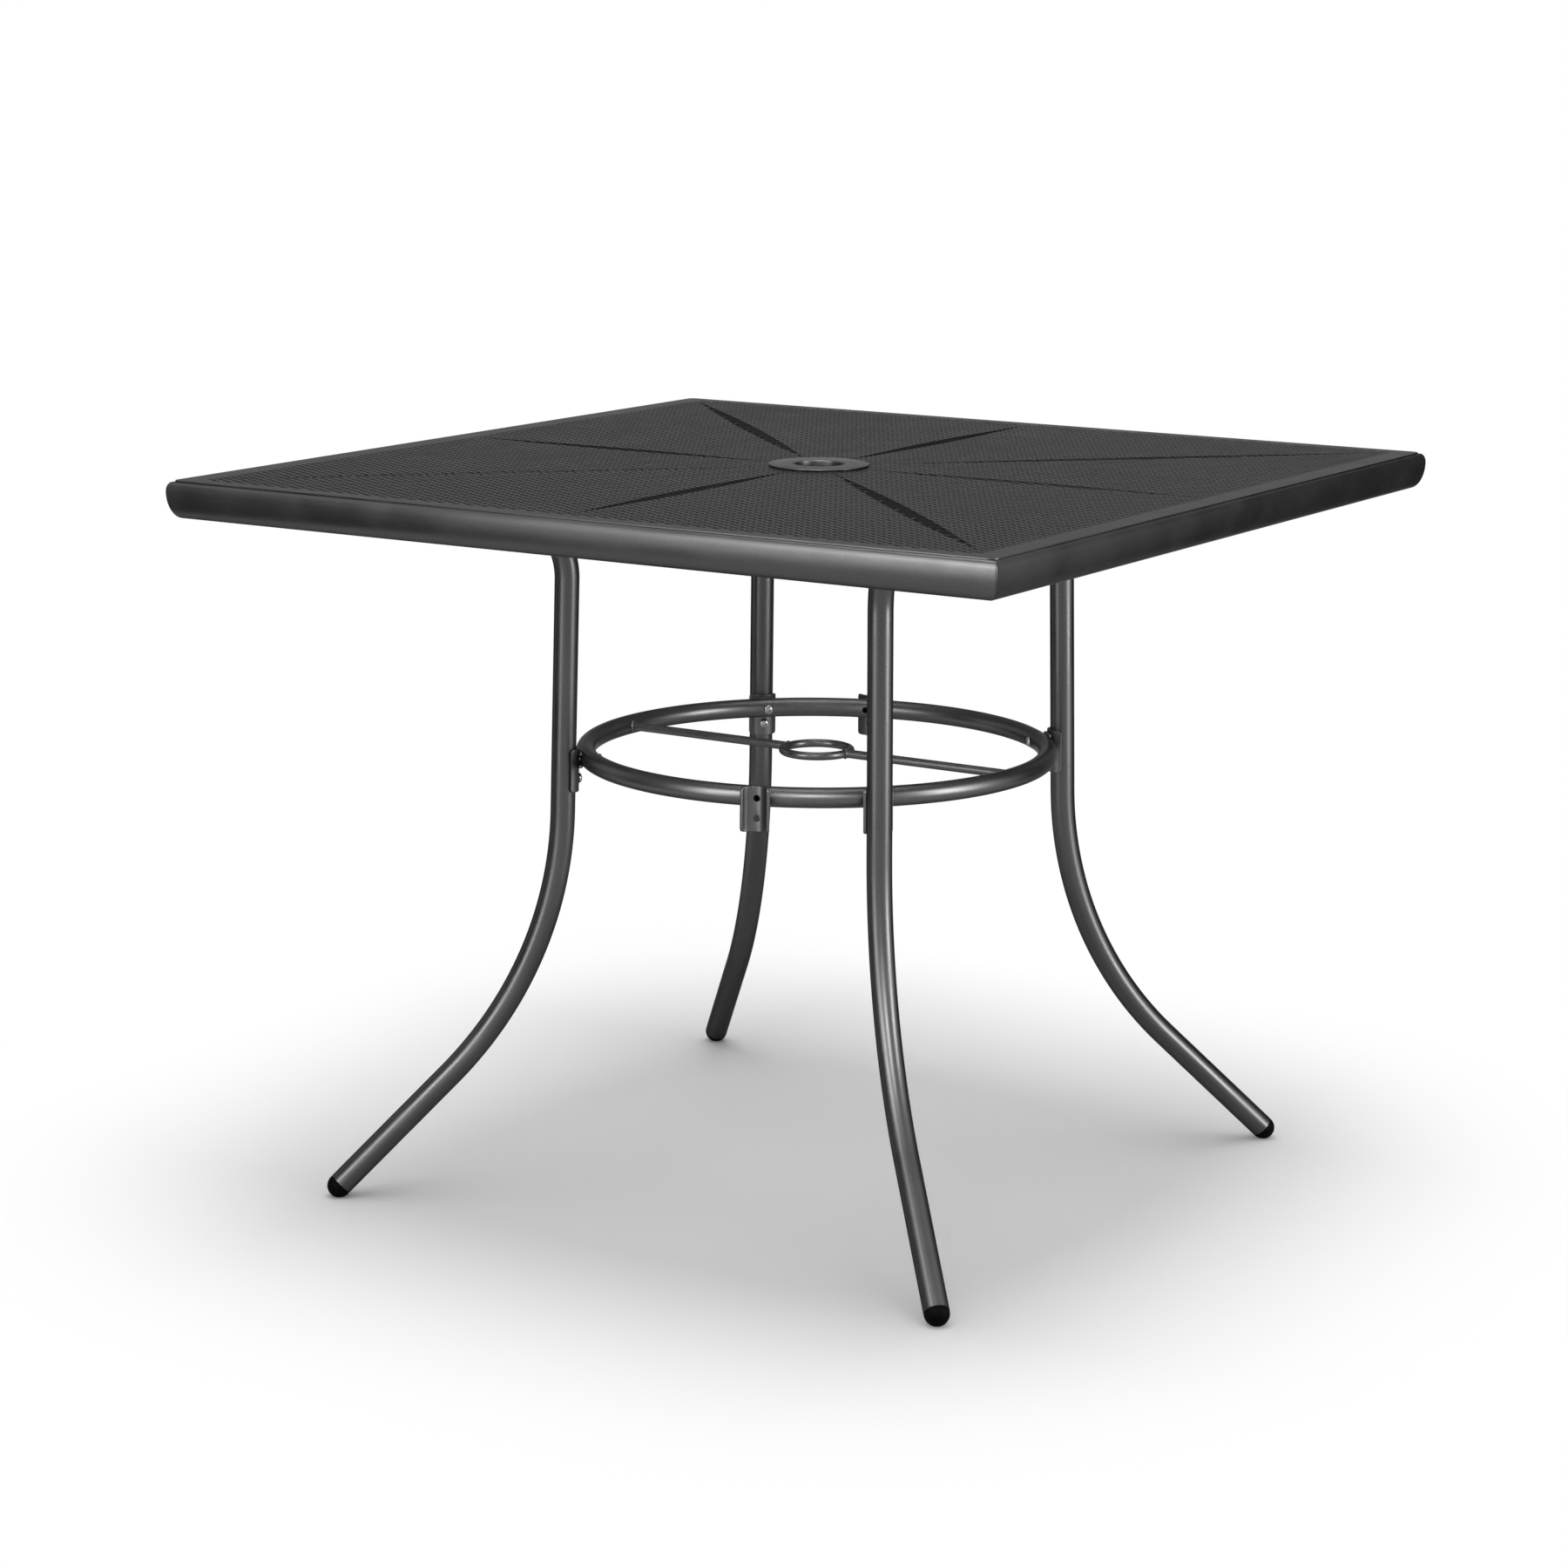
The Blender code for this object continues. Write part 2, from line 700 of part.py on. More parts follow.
def add_ring_bolts(corner, inward, leg, lower):
    """Upper bolt through ring, saddle and leg wall, and lower bolt through saddle and leg wall."""
    cut(leg, lower)
    wall_reach = leg_tube_radius - leg_wall - bolt_end_reach
    upper_seat = ring_seat + ring_tube_radius + touch_gap
    lower_seat = saddle_outer_radius + touch_gap
    below = Matrix.Translation((lower_bolt_drop, 0.0, 0.0))
    up = Matrix.Translation((0.0, 0.0, upper_seat))
    down = Matrix.Translation((0.0, 0.0, lower_seat))
    add_bolt(f"ring_bolt_{corner}_upper", inward @ up, upper_seat - wall_reach)
    add_bolt(f"ring_bolt_{corner}_lower", inward @ below @ down, lower_seat - wall_reach)


def stretcher_mesh(growth=0.0):
    """Surface of the stretcher ring, fattened all round by a growth."""
    return torus_mesh(
        "stretcher_ring", ring_radius, ring_tube_radius + growth, ring_segments, ring_sides)


def umbrella_ring_mesh(growth=0.0):
    """Surface of the small umbrella ring, fattened all round by a growth."""
    return torus_mesh(
        "umbrella_ring", umbrella_loop_radius, umbrella_rod_radius + growth,
        umbrella_ring_segments, umbrella_ring_sides)


def add_stretcher_ring(mesh):
    """Tubular ring that ties the four legs together."""
    ring = add_part("stretcher_ring", mesh, paint)
    give_wall(ring, ring_wall)
    return ring


def add_crossbar(loop, loop_cope):
    """Crossbar in two halves, coped at both ends, and the umbrella ring between them."""
    add_part("umbrella_ring", loop, paint)
    mesh = cylinder_mesh("crossbar", crossbar_radius, ring_radius - umbrella_loop_radius, crossbar_sides)
    middle = (ring_radius + umbrella_loop_radius) / 2
    for side, angle in (("right", 0.0), ("left", 180.0)):
        place = Matrix.Translation((middle, 0.0, ring_height))
        frame = around(angle) @ place @ Matrix.Rotation(math.pi / 2, 4, "Y")
        bar = add_part(f"crossbar_{side}", mesh, paint, frame)
        cut(bar, loop_cope)
        cut(bar, ring_cope)


empty_the_scene()
parts = new_collection("garden_table")
cutters = new_collection("cutters")
groove_keels = new_collection("groove_keels")
groove_hollows = new_collection("groove_hollows")

paint = make_material("powder_coat", (0.075, 0.075, 0.075), 0.42, 0.25)
hub_paint = make_material("hub_powder_coat", (0.11, 0.11, 0.11), 0.40, 0.25)
plastic = make_material("black_plastic", (0.008, 0.008, 0.008), 0.55, 0.0)
bolt_steel = make_material("dark_bolt_steel", (0.06, 0.06, 0.06), 0.35, 0.6)

floor_mesh = cylinder_mesh("floor", table_side, table_side, 8)
floor_cutter = add_cutter("floor", floor_mesh, Matrix.Translation((0.0, 0.0, -table_side / 2)))

sheet_shape = sheet_mesh()
rail_shape = rail_mesh()
leg_shape = leg_mesh()
gusset_shape = gusset_mesh()
ring_shape = stretcher_mesh()
loop_shape = umbrella_ring_mesh()
ring_cope = add_cutter("ring_cope", stretcher_mesh(touch_gap))
loop_cope = add_cutter("loop_cope", umbrella_ring_mesh(touch_gap))

add_rim_rails(rail_shape)
add_umbrella_hole()
stretcher_ring = add_stretcher_ring(ring_shape)
for corner, angle in corner_angles.items():
    leg = add_leg(corner, angle, leg_shape)
    gusset = add_corner_gusset(corner, angle, gusset_shape)
    add_run_bolts(corner, angle, leg, gusset)
    inward, lower = add_saddle(corner, angle, [stretcher_ring, leg])
    add_ring_bolts(corner, inward, leg, lower)
for name, angle in spare_saddle_angles.items():
    add_saddle(f"spare_{name}", angle, [stretcher_ring])
add_crossbar(loop_shape, loop_cope)
add_top_panel(sheet_shape)
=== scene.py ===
"""Looks of the square garden table: perforated top, rolled rim, bent legs and stretcher ring.

Metres, +Z up. The origin is on the floor under the middle of the top, and the front is -Y.
The packed frame gives the overall sizes, and the property groups hold the finer ones.
"""

import math

import bmesh
import bpy
from bpy.props import FloatProperty, FloatVectorProperty, IntProperty, PointerProperty
from mathutils import Matrix, Vector


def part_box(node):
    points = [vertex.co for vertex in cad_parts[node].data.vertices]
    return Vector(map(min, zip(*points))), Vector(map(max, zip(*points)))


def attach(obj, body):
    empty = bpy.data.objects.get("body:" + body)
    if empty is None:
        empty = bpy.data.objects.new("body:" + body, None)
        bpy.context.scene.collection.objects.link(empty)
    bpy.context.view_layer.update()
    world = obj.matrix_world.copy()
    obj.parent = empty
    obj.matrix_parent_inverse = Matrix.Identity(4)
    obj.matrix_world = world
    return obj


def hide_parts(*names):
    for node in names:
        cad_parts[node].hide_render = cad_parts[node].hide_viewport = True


bl_info = {
    "name": "Garden Table",
    "version": (1, 0, 0),
    "blender": (4, 5, 0),
    "location": "3D View > Sidebar > Garden Table",
    "description": "Builds the looks of a square garden table around its packed frame",
    "category": "Add Mesh",
}

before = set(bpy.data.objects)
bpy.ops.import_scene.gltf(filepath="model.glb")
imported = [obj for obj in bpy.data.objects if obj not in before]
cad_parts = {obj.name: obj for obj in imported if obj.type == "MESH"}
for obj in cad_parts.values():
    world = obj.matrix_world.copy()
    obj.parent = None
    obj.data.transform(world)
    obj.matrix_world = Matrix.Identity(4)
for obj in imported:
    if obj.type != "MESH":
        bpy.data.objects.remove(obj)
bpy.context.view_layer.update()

sheet_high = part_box("top_panel")[1]
rail_low, rail_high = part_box("rim_rail_right")
plate_low, plate_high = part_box("umbrella_plate")
sleeve_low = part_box("umbrella_sleeve")[0]
ring_low, ring_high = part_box("stretcher_ring")
loop_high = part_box("umbrella_ring")[1]
bar_low, bar_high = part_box("crossbar_right")

corners = {"front_left": 225.0, "front_right": -45.0, "back_right": 45.0, "back_left": 135.0}
quarters = {
    "front_left": (-1, -1), "front_right": (1, -1), "back_right": (1, 1), "back_left": (-1, 1)}
spare_saddles = {"front": -71.7, "back": 108.3}

# Gap between pieces that touch
touch_gap = 0.0003

# Top sheet: from the bore to the sheet's hole, the plain field at the hole, and the slots' round ends
sleeve_clearance = 0.0018
plain_columns = 4
plain_rows = 7
slot_end_in = 0.3
slot_end_out = 0.7

# Grooves: spans of an outline, the field round a span, and the share of the depth that closes slots
groove_spans = 12
span_overlap = 0.002
groove_field = 0.02
closing_depth = 0.15

# Rim: stations along a rail, share of the seam that a rail stops short, and step of the ground weld
rail_stations = 24
seam_share = 0.8
seam_step = 0.0012

# Legs, saddle plates, bolts and weld beads
foot_flat_depth = 0.001
leg_wall = 0.0012
bolt_end_reach = 0.008
saddle_columns = 12
saddle_bends = 16
saddle_rounding = 0.0004
saddle_weld_reach = 0.0095
ring_weld_radius = 0.0019
loop_weld_radius = 0.0013

# Meshes: angle of a sharp edge, in degrees, and the distances for merging and cutting
sharp_edge = 38.0
merge_distance = 0.00001
cut_distance = 1e-6

# Finishes: scales of clouds, worn patches and smudges, grey of the speckle, reach of the slotted field whose
# slot wall faces get painted shade
cloud_scale = 5.0
patch_scale = 60.0
smudge_scale = 18.0
middle_grey = (0.5, 0.5, 0.5)
slotted_reach = 0.46

# Camera of the photograph, with its angles in degrees
camera_place = (2.0549, -3.3390, 1.2395)
camera_lens = 88.06
camera_turn = 32.104
camera_dip = 11.865
camera_roll = 0.340


def length_property(name, description, default, precision=4):
    """Give a property for a length."""
    return FloatProperty(
        name=name, description=description, default=default, unit="LENGTH", precision=precision)


def power_property(name, description, default):
    """Give a property for the power of a lamp."""
    return FloatProperty(name=name, description=description, default=default, unit="POWER")


def colour_property(name, description, default):
    """Give a property for a colour."""
    return FloatVectorProperty(
        name=name, description=description, default=default, size=3, subtype="COLOR", min=0.0, max=1.0)


class TopSheetSizes(bpy.types.PropertyGroup):
    """Sizes of the perforated top sheet."""

    half_width: length_property(
        "Half width", "From the middle of the top to the sheet's edge", sheet_high.x)
    height: length_property("Height", "Height of the sheet's upper face", sheet_high.z)
    thickness: length_property("Thickness", "Thickness of the sheet", 0.0012)
    corner_radius: length_property("Corner radius", "Radius of the sheet's corners", 0.008)
    slot_spacing: length_property("Slot spacing", "Distance between slots along a row", 0.0174)
    row_spacing: length_property("Row spacing", "Distance between rows of slots", 0.0048)
    slot_length: length_property("Slot length", "Length of one slot, ends included", 0.0108)
    slot_width: length_property("Slot width", "Width of one slot", 0.0030)
    columns: IntProperty(
        name="Columns", description="Half spacings between the middle and the plain edge",
        default=51)
    rows: IntProperty(
        name="Rows", description="Rows of slots between the middle and the plain edge",
        default=93)
    groove_depth: length_property("Groove depth", "Depth of a pressed groove at its middle", 0.004)
    groove_half_width: length_property(
        "Groove half width", "Half the width of a groove at its middle", 0.009)
    groove_closing: FloatProperty(
        name="Groove closing", description="How far the slots close where a groove is pressed",
        default=0.92, min=0.0, max=0.95, subtype="FACTOR")
    groove_start: length_property(
        "Groove start", "Distance of a groove's inner end from the middle", 0.060)
    groove_end: length_property(
        "Groove end", "Distance of a groove's outer end from the middle line", 0.433)


class RimSizes(bpy.types.PropertyGroup):
    """Sizes of the rolled rim rails."""

    half_width: length_property(
        "Half width", "From the middle of the table to the rim's fullest line", rail_high.x)
    top: length_property("Top", "Height of the rails' upper face", rail_high.z)
    bottom: length_property("Bottom", "Height of the rails' lowest line", rail_low.z)
    wall: length_property("Wall", "Thickness of the rolled strip", 0.0012)
    shoulder_reach: length_property("Shoulder reach", "Depth of the rounded upper shoulder", 0.005)
    shoulder_height: length_property("Shoulder height", "Height of the rounded upper shoulder", 0.0095)
    belly_reach: length_property("Belly reach", "How far the lower part curves in", 0.012)
    flange_reach: length_property("Flange reach", "Width of the flange under the sheet", 0.025)
    base_width: length_property("Base width", "Width of the flat lowest strip", 0.004)
    lip_radius: length_property("Lip radius", "Radius of the turned-in lip", 0.003)
    lip_height: length_property("Lip height", "Straight height of the turned-in lip", 0.005)
    seam_radius: length_property("Seam radius", "Radius of the ground weld along a mitre", 0.0014)


class HubSizes(bpy.types.PropertyGroup):
    """Sizes of the round plate and the sleeve of the umbrella hole."""

    plate_radius: length_property("Plate radius", "Radius of the round plate", plate_high.x)
    plate_edge: length_property("Plate edge", "Thickness of the plate's edge", 0.0013)
    bore_radius: length_property("Bore radius", "Radius of the umbrella hole", 0.025)
    sleeve_wall: length_property("Sleeve wall", "Thickness of the sleeve", 0.0015)


class LegSizes(bpy.types.PropertyGroup):
    """Sizes of the bent legs and their foot caps."""

    tube_radius: length_property("Tube radius", "Radius of the leg tube", 0.0127)
    lean: FloatProperty(
        name="Lean", description="Slope of the straight part of a leg",
        default=math.radians(1.4), subtype="ANGLE", precision=3)
    waist: length_property("Waist", "Distance of a leg from the middle at the ring's height", 0.2670)
    foot_reach: length_property("Foot reach", "Distance of a foot from the middle", 0.505)
    knee_height: length_property("Knee height", "Height where the two straight parts would meet", 0.237)
    knee_bend: length_property("Knee bend", "Radius of the long lower bend", 0.395)
    top_bend: length_property("Top bend", "Radius of the bend under the top", 0.083)
    run_height: length_property("Run height", "Height of the run under the corner gusset", 0.7245)
    run_end: length_property("Run end", "Distance of the run's end from the middle", 0.5847)
    cap_gap: length_property("Cap gap", "Seam between a tube and its foot cap", touch_gap)
    cap_collar: length_property("Cap collar", "Straight part of a foot cap above its dome", 0.0016)


class RingSizes(bpy.types.PropertyGroup):
    """Sizes of the stretcher ring, the crossbar and the saddle plates."""

    height: length_property(
        "Height", "Height of the ring's middle line", (ring_low.z + ring_high.z) / 2)
    tube_radius: length_property("Tube radius", "Radius of the ring's tube", 0.01025, 5)
    tube_wall: length_property("Tube wall", "Wall of the ring's tube", 0.0012)
    bar_radius: length_property("Bar radius", "Radius of the crossbar", 0.0045)
    loop_radius: length_property("Loop radius", "Outer radius of the umbrella ring", loop_high.x)
    loop_rod: length_property("Loop rod", "Radius of the umbrella ring's rod", 0.00425, 5)
    saddle_thickness: length_property("Saddle thickness", "Thickness of a saddle plate", 0.003)
    saddle_half_angle: FloatProperty(
        name="Saddle half angle", description="How far a saddle plate wraps to each side",
        default=math.radians(70), subtype="ANGLE", precision=3)
    saddle_above: length_property(
        "Saddle above", "Height of a saddle plate above the ring's middle line", 0.012)
    saddle_below: length_property(
        "Saddle below", "Depth of a saddle plate below the ring's middle line", 0.033)
    saddle_corner: length_property("Saddle corner", "Corner radius of a saddle plate", 0.004)
    hole_radius: length_property("Hole radius", "Radius of the bolt holes", 0.0034)
    hole_drop: length_property("Hole drop", "Depth of the lower hole below the upper one", 0.020)
    weld_radius: length_property("Weld radius", "Radius of the weld beads at the saddles", 0.003)


class BoltSizes(bpy.types.PropertyGroup):
    """Sizes of the button-head bolts."""

    shank_radius: length_property("Shank radius", "Radius of the shank", 0.003)
    head_radius: length_property("Head radius", "Radius of the head", 0.00525, 5)
    head_height: length_property("Head height", "Height of the head", 0.003)
    socket_width: length_property("Socket width", "Width across the flats of the hexagon socket", 0.004)
    socket_depth: length_property("Socket depth", "Depth of the socket", 0.0019)
    setback_outer: length_property(
        "Outer setback", "Distance of a run's outer bolt from the rim's corner", 0.100)
    setback_inner: length_property(
        "Inner setback", "Distance of a run's inner bolt from the rim's corner", 0.155)


class Finishes(bpy.types.PropertyGroup):
    """Colours and surfaces of the table."""

    paint: colour_property("Paint", "Graphite powder coat", (0.074, 0.074, 0.075))
    hub_paint: colour_property(
        "Hub paint", "Powder coat of the round plate and the sleeve", (0.075, 0.075, 0.076))
    plastic: colour_property("Plastic", "Foot caps and tube plugs", (0.001, 0.001, 0.001))
    steel: colour_property("Bolt steel", "Dark bolts and nuts", (0.30, 0.30, 0.305))
    paint_metal: FloatProperty(
        name="Metal flake", description="Share of metal flake in the powder coat",
        default=0.85, min=0.0, max=1.0, subtype="FACTOR")
    paint_roughness: FloatProperty(
        name="Paint roughness", description="Roughness of the powder coat",
        default=0.35, min=0.0, max=1.0, subtype="FACTOR")
    grain_scale: FloatProperty(
        name="Grain scale", description="Fineness of the powder coat's orange peel, per metre",
        default=520.0)
    grain_depth: length_property("Grain depth", "Depth of the orange peel", 0.00002, 6)


class StudioLight(bpy.types.PropertyGroup):
    """Floor, lamps and world of the studio."""

    floor_colour: colour_property("Floor", "Pale floor", (0.78, 0.78, 0.78))
    floor_radius: length_property("Floor radius", "Radius of the floor", 9.0)
    fade_start: length_property(
        "Fade start", "Where the floor starts to turn into the background", 0.46)
    fade_end: length_property("Fade end", "Where the floor has become the background", 0.98)
    ambient: FloatProperty(
        name="Ambient", description="Strength of the light from all around",
        default=0.68)
    overhead: power_property("Overhead lamp", "Power of the soft lamp above the table", 84.0)
    front: power_property("Front lamp", "Power of the low lamp in front, for gloss only", 36.0)
    upper: power_property("Upper lamp", "Power of the lamp above the front one, for gloss only", 62.0)
    high: power_property("High lamp", "Power of the lamp high at the camera, for gloss only", 150.0)
    side: power_property("Side lamp", "Power of the tall lamp at the right, for gloss only", 104.0)


def arc(centre, reach, height, start, end, steps):
    """Give the points of an elliptical arc, from one angle to another."""
    points = []
    for index in range(steps + 1):
        angle = start + (end - start) * index / steps
        points.append((centre[0] + reach * math.cos(angle), centre[1] + height * math.sin(angle)))
    return points


def around(angle):
    """Turn about the table's upright axis, by degrees."""
    return Matrix.Rotation(math.radians(angle), 4, "Z")


def on_circle(radius, angle, height):
    """Give a place from its distance to the upright axis, its angle and its height."""
    return Vector((radius * math.cos(angle), radius * math.sin(angle), height))


def aim(place, direction):
    """Frame at a place, with its Z axis along a direction."""
    turn = Vector((0.0, 0.0, 1.0)).rotation_difference(direction).to_matrix().to_4x4()
    return Matrix.Translation(place) @ turn


def bent_path(corner_points, radii, step_angle):
    """Round the corners of a path with arcs of the given radii."""
    path = [corner_points[0]]
    for index in range(1, len(corner_points) - 1):
        corner = corner_points[index]
        into = (corner - corner_points[index - 1]).normalized()
        out = (corner_points[index + 1] - corner).normalized()
        turn = into.angle(out)
        radius = radii[index - 1]
        start = corner - into * radius * math.tan(turn / 2)
        side = (out - into * out.dot(into)).normalized()
        centre = start + side * radius
        steps = max(2, math.ceil(turn / step_angle))
        for step in range(steps + 1):
            angle = turn * step / steps
            path.append(centre - side * radius * math.cos(angle) + into * radius * math.sin(angle))
    path.append(corner_points[-1])
    return path


def offset_line(line, distance):
    """Move an open line sideways to its left, with its corners mitred."""
    points = [Vector(place) for place in line]
    moved = []
    for index, point in enumerate(points):
        before = points[max(index - 1, 0)]
        after = points[min(index + 1, len(points) - 1)]
        into = (point - before).normalized() if index > 0 else (after - point).normalized()
        out = (after - point).normalized() if index < len(points) - 1 else into
        bisector = (into + out).normalized()
        left = Vector((-bisector.y, bisector.x))
        moved.append(point + left * distance / bisector.dot(into))
    return moved


def swept_tube(path, radii, sides, closed=False):
    """Give the points and faces of a tube along a path, with a radius for each of its points."""
    count = len(path)
    points = []
    side = None
    for index, place in enumerate(path):
        before = path[index - 1] if closed else path[max(index - 1, 0)]
        after = path[(index + 1) % count] if closed else path[min(index + 1, count - 1)]
        forward = (after - before).normalized()
        if side is None:
            side = forward.orthogonal().normalized()
        side = (side - forward * side.dot(forward)).normalized()
        other = forward.cross(side)
        for corner in range(sides):
            angle = math.tau * corner / sides
            points.append(place + (side * math.cos(angle) + other * math.sin(angle)) * radii[index])
    faces = []
    for index in range(count if closed else count - 1):
        near = index * sides
        far = (index + 1) % count * sides
        for corner in range(sides):
            follower = (corner + 1) % sides
            faces.append((near + corner, near + follower, far + follower, far + corner))
    if not closed:
        faces.append(tuple(reversed(range(sides))))
        faces.append(tuple(range((count - 1) * sides, count * sides)))
    return points, faces


def turned_shape(profile, sides, closed=False):
    """Give the points and faces of a shape turned about Z from radii and heights."""
    points = []
    rings = []
    for radius, height in profile:
        if radius < 1e-7:
            rings.append([len(points)] * sides)
            points.append(Vector((0.0, 0.0, height)))
            continue
        rings.append(list(range(len(points), len(points) + sides)))
        for corner in range(sides):
            angle = math.tau * corner / sides
            points.append(on_circle(radius, angle, height))
    faces = []
    pairs = list(zip(rings, rings[1:]))
    if closed:
        pairs.append((rings[-1], rings[0]))
    for upper, lower in pairs:
        for corner in range(sides):
            follower = (corner + 1) % sides
            loop = [upper[corner], lower[corner], lower[follower], upper[follower]]
            face = [place for index, place in enumerate(loop) if place != loop[index - 1]]
            if len(face) > 2:
                faces.append(tuple(face))
    return points, faces


def ring_shape(radius, height, tube_radius, segments, sides):
    """Give the points and faces of a level round ring of tube."""
    path = []
    for index in range(segments):
        angle = math.tau * (index + 0.5) / segments
        path.append(on_circle(radius, angle, height))
    return swept_tube(path, [tube_radius] * segments, sides, closed=True)


def weld_bead(path, radius, closed=False, ends=0.45):
    """Give the points and faces of a slightly rippled weld bead along a path."""
    count = len(path)
    radii = []
    for index in range(count):
        ripple = 1.0 + 0.07 * math.sin(index * 1.9) + 0.04 * math.sin(index * 0.7 + 1.0)
        taper = 1.0
        if not closed:
            share = index / (count - 1)
            taper = ends + (1.0 - ends) * math.sqrt(max(0.0, math.sin(math.pi * share)))
        radii.append(radius * ripple * taper)
    return swept_tube(path, radii, 12, closed)


def joined(shapes):
    """Put several shapes together into one list of points and one of faces."""
    points = []
    faces = []
    for shape_points, shape_faces in shapes:
        start = len(points)
        points += shape_points
        faces += [tuple(start + place for place in face) for face in shape_faces]
    return points, faces


def placed(shape, matrix):
    """Move a shape's points by a matrix."""
    points, faces = shape
    return [matrix @ Vector(point) for point in points], faces


def shape_mesh(name, shape, sharp=sharp_edge):
    """Make a mesh of a shape, with its normals outwards and smooth up to its sharp edges."""
    points, faces = shape
    mesh = bpy.data.meshes.new(name)
    mesh.from_pydata([tuple(point) for point in points], [], faces)
    solid = bmesh.new()
    solid.from_mesh(mesh)
    bmesh.ops.recalc_face_normals(solid, faces=solid.faces)
    solid.to_mesh(mesh)
    solid.free()
    mesh.shade_smooth()
    mesh.set_sharp_from_angle(angle=math.radians(sharp))
    return mesh


def add_object(name, data):
    """Add an object to the scene."""
    item = bpy.data.objects.new(name, data)
    bpy.context.scene.collection.objects.link(item)
    return item


def add_piece(name, mesh, finish, nodes=(), matrix=None):
    """Add one piece to the table, in its finish, in the place of its nodes of the frame."""
    mesh.materials.clear()
    mesh.materials.append(find_material(finish))
    piece = add_object(name, mesh)
    piece.matrix_world = matrix or Matrix()
    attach(piece, "root")
    if nodes:
        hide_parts(*nodes)
    return piece


def cut_mesh(mesh, cutters):
    """Give a copy of a mesh with several shapes cut out of it."""
    body = add_object("body", mesh)
    helpers = [body]
    for cutter_mesh in cutters:
        cutter = add_object("cutter", cutter_mesh)
        helpers.append(cutter)
        modifier = body.modifiers.new("Cut", "BOOLEAN")
        modifier.operation = "DIFFERENCE"
        modifier.object = cutter
        modifier.solver = "EXACT"
    evaluated = body.evaluated_get(bpy.context.evaluated_depsgraph_get())
    result = bpy.data.meshes.new_from_object(evaluated)
    for helper in helpers:
        bpy.data.objects.remove(helper)
    result.set_sharp_from_angle(angle=math.radians(sharp_edge))
    return result


def split_plane(shape, place, normal, parts=None):
    """Cut a mesh, or some parts of it, along a plane, and give the parts on both sides."""
    if parts is None:
        parts = shape.verts[:] + shape.edges[:] + shape.faces[:]
    cut = bmesh.ops.bisect_plane(
        shape, geom=parts, dist=cut_distance, plane_co=place, plane_no=normal)
    return cut["geom"]


def node_coordinates(tree):
    """Add the object's own coordinates to a material."""
    return tree.nodes.new("ShaderNodeTexCoord").outputs["Object"]


def set_inputs(node, values):
    """Set the values of a node's sockets, by their names."""
    for name, value in values.items():
        node.inputs[name].default_value = value


def noise(tree, coordinates, scale, detail, low=0.3, high=0.7):
    """Add a noise texture, stretched so that low and high become 0 and 1."""
    texture = tree.nodes.new("ShaderNodeTexNoise")
    set_inputs(texture, {"Scale": scale, "Detail": detail})
    tree.links.new(coordinates, texture.inputs["Vector"])
    return stretched(tree, texture.outputs["Fac"], low, high, 0.0, 1.0)


def stretched(tree, value, low, high, new_low, new_high, course="LINEAR"):
    """Map a range of values to another, held at its ends."""
    node = tree.nodes.new("ShaderNodeMapRange")
    node.interpolation_type = course
    set_inputs(node, {"From Min": low, "From Max": high, "To Min": new_low, "To Max": new_high})
    tree.links.new(value, node.inputs["Value"])
    return node.outputs["Result"]


def arithmetic(tree, operation, first, second):
    """Add one sum or product of two values."""
    node = tree.nodes.new("ShaderNodeMath")
    node.operation = operation
    for socket, value in zip(node.inputs, (first, second)):
        if isinstance(value, (int, float)):
            socket.default_value = value
        else:
            tree.links.new(value, socket)
    return node.outputs["Value"]


def blended(tree, factor, first, second, kind="MIX"):
    """Mix two colours by a factor."""
    node = tree.nodes.new("ShaderNodeMix")
    node.data_type = "RGBA"
    node.blend_type = kind
    for socket, value in ((node.inputs[0], factor), (node.inputs[6], first), (node.inputs[7], second)):
        if isinstance(value, float):
            socket.default_value = value
        elif isinstance(value, tuple):
            socket.default_value = (*value, 1.0)
        else:
            tree.links.new(value, socket)
    return node.outputs[2]


def toned(colour, factor):
    """Give a colour made lighter or darker by a factor."""
    return tuple(min(1.0, channel * factor) for channel in colour)


def paint_slot_wall_shade(tree, coordinates, colour, slot_shade_colour):
    """Paint shade on the upright wall faces of the slots, as a darker colour, but not on the sheet's edge.
    """
    upright = tree.nodes.new("ShaderNodeSeparateXYZ")
    tree.links.new(tree.nodes["Texture Coordinate"].outputs["Normal"], upright.inputs[0])
    flat = arithmetic(tree, "ABSOLUTE", upright.outputs["Z"], 0.0)
    wall = stretched(tree, flat, 0.2, 0.6, 1.0, 0.0)
    sides = tree.nodes.new("ShaderNodeSeparateXYZ")
    tree.links.new(coordinates, sides.inputs[0])
    across = arithmetic(tree, "ABSOLUTE", sides.outputs["X"], 0.0)
    along = arithmetic(tree, "ABSOLUTE", sides.outputs["Y"], 0.0)
    outermost = arithmetic(tree, "MAXIMUM", across, along)
    inside = arithmetic(tree, "LESS_THAN", outermost, slotted_reach)
    return blended(tree, arithmetic(tree, "MULTIPLY", wall, inside), colour, slot_shade_colour)


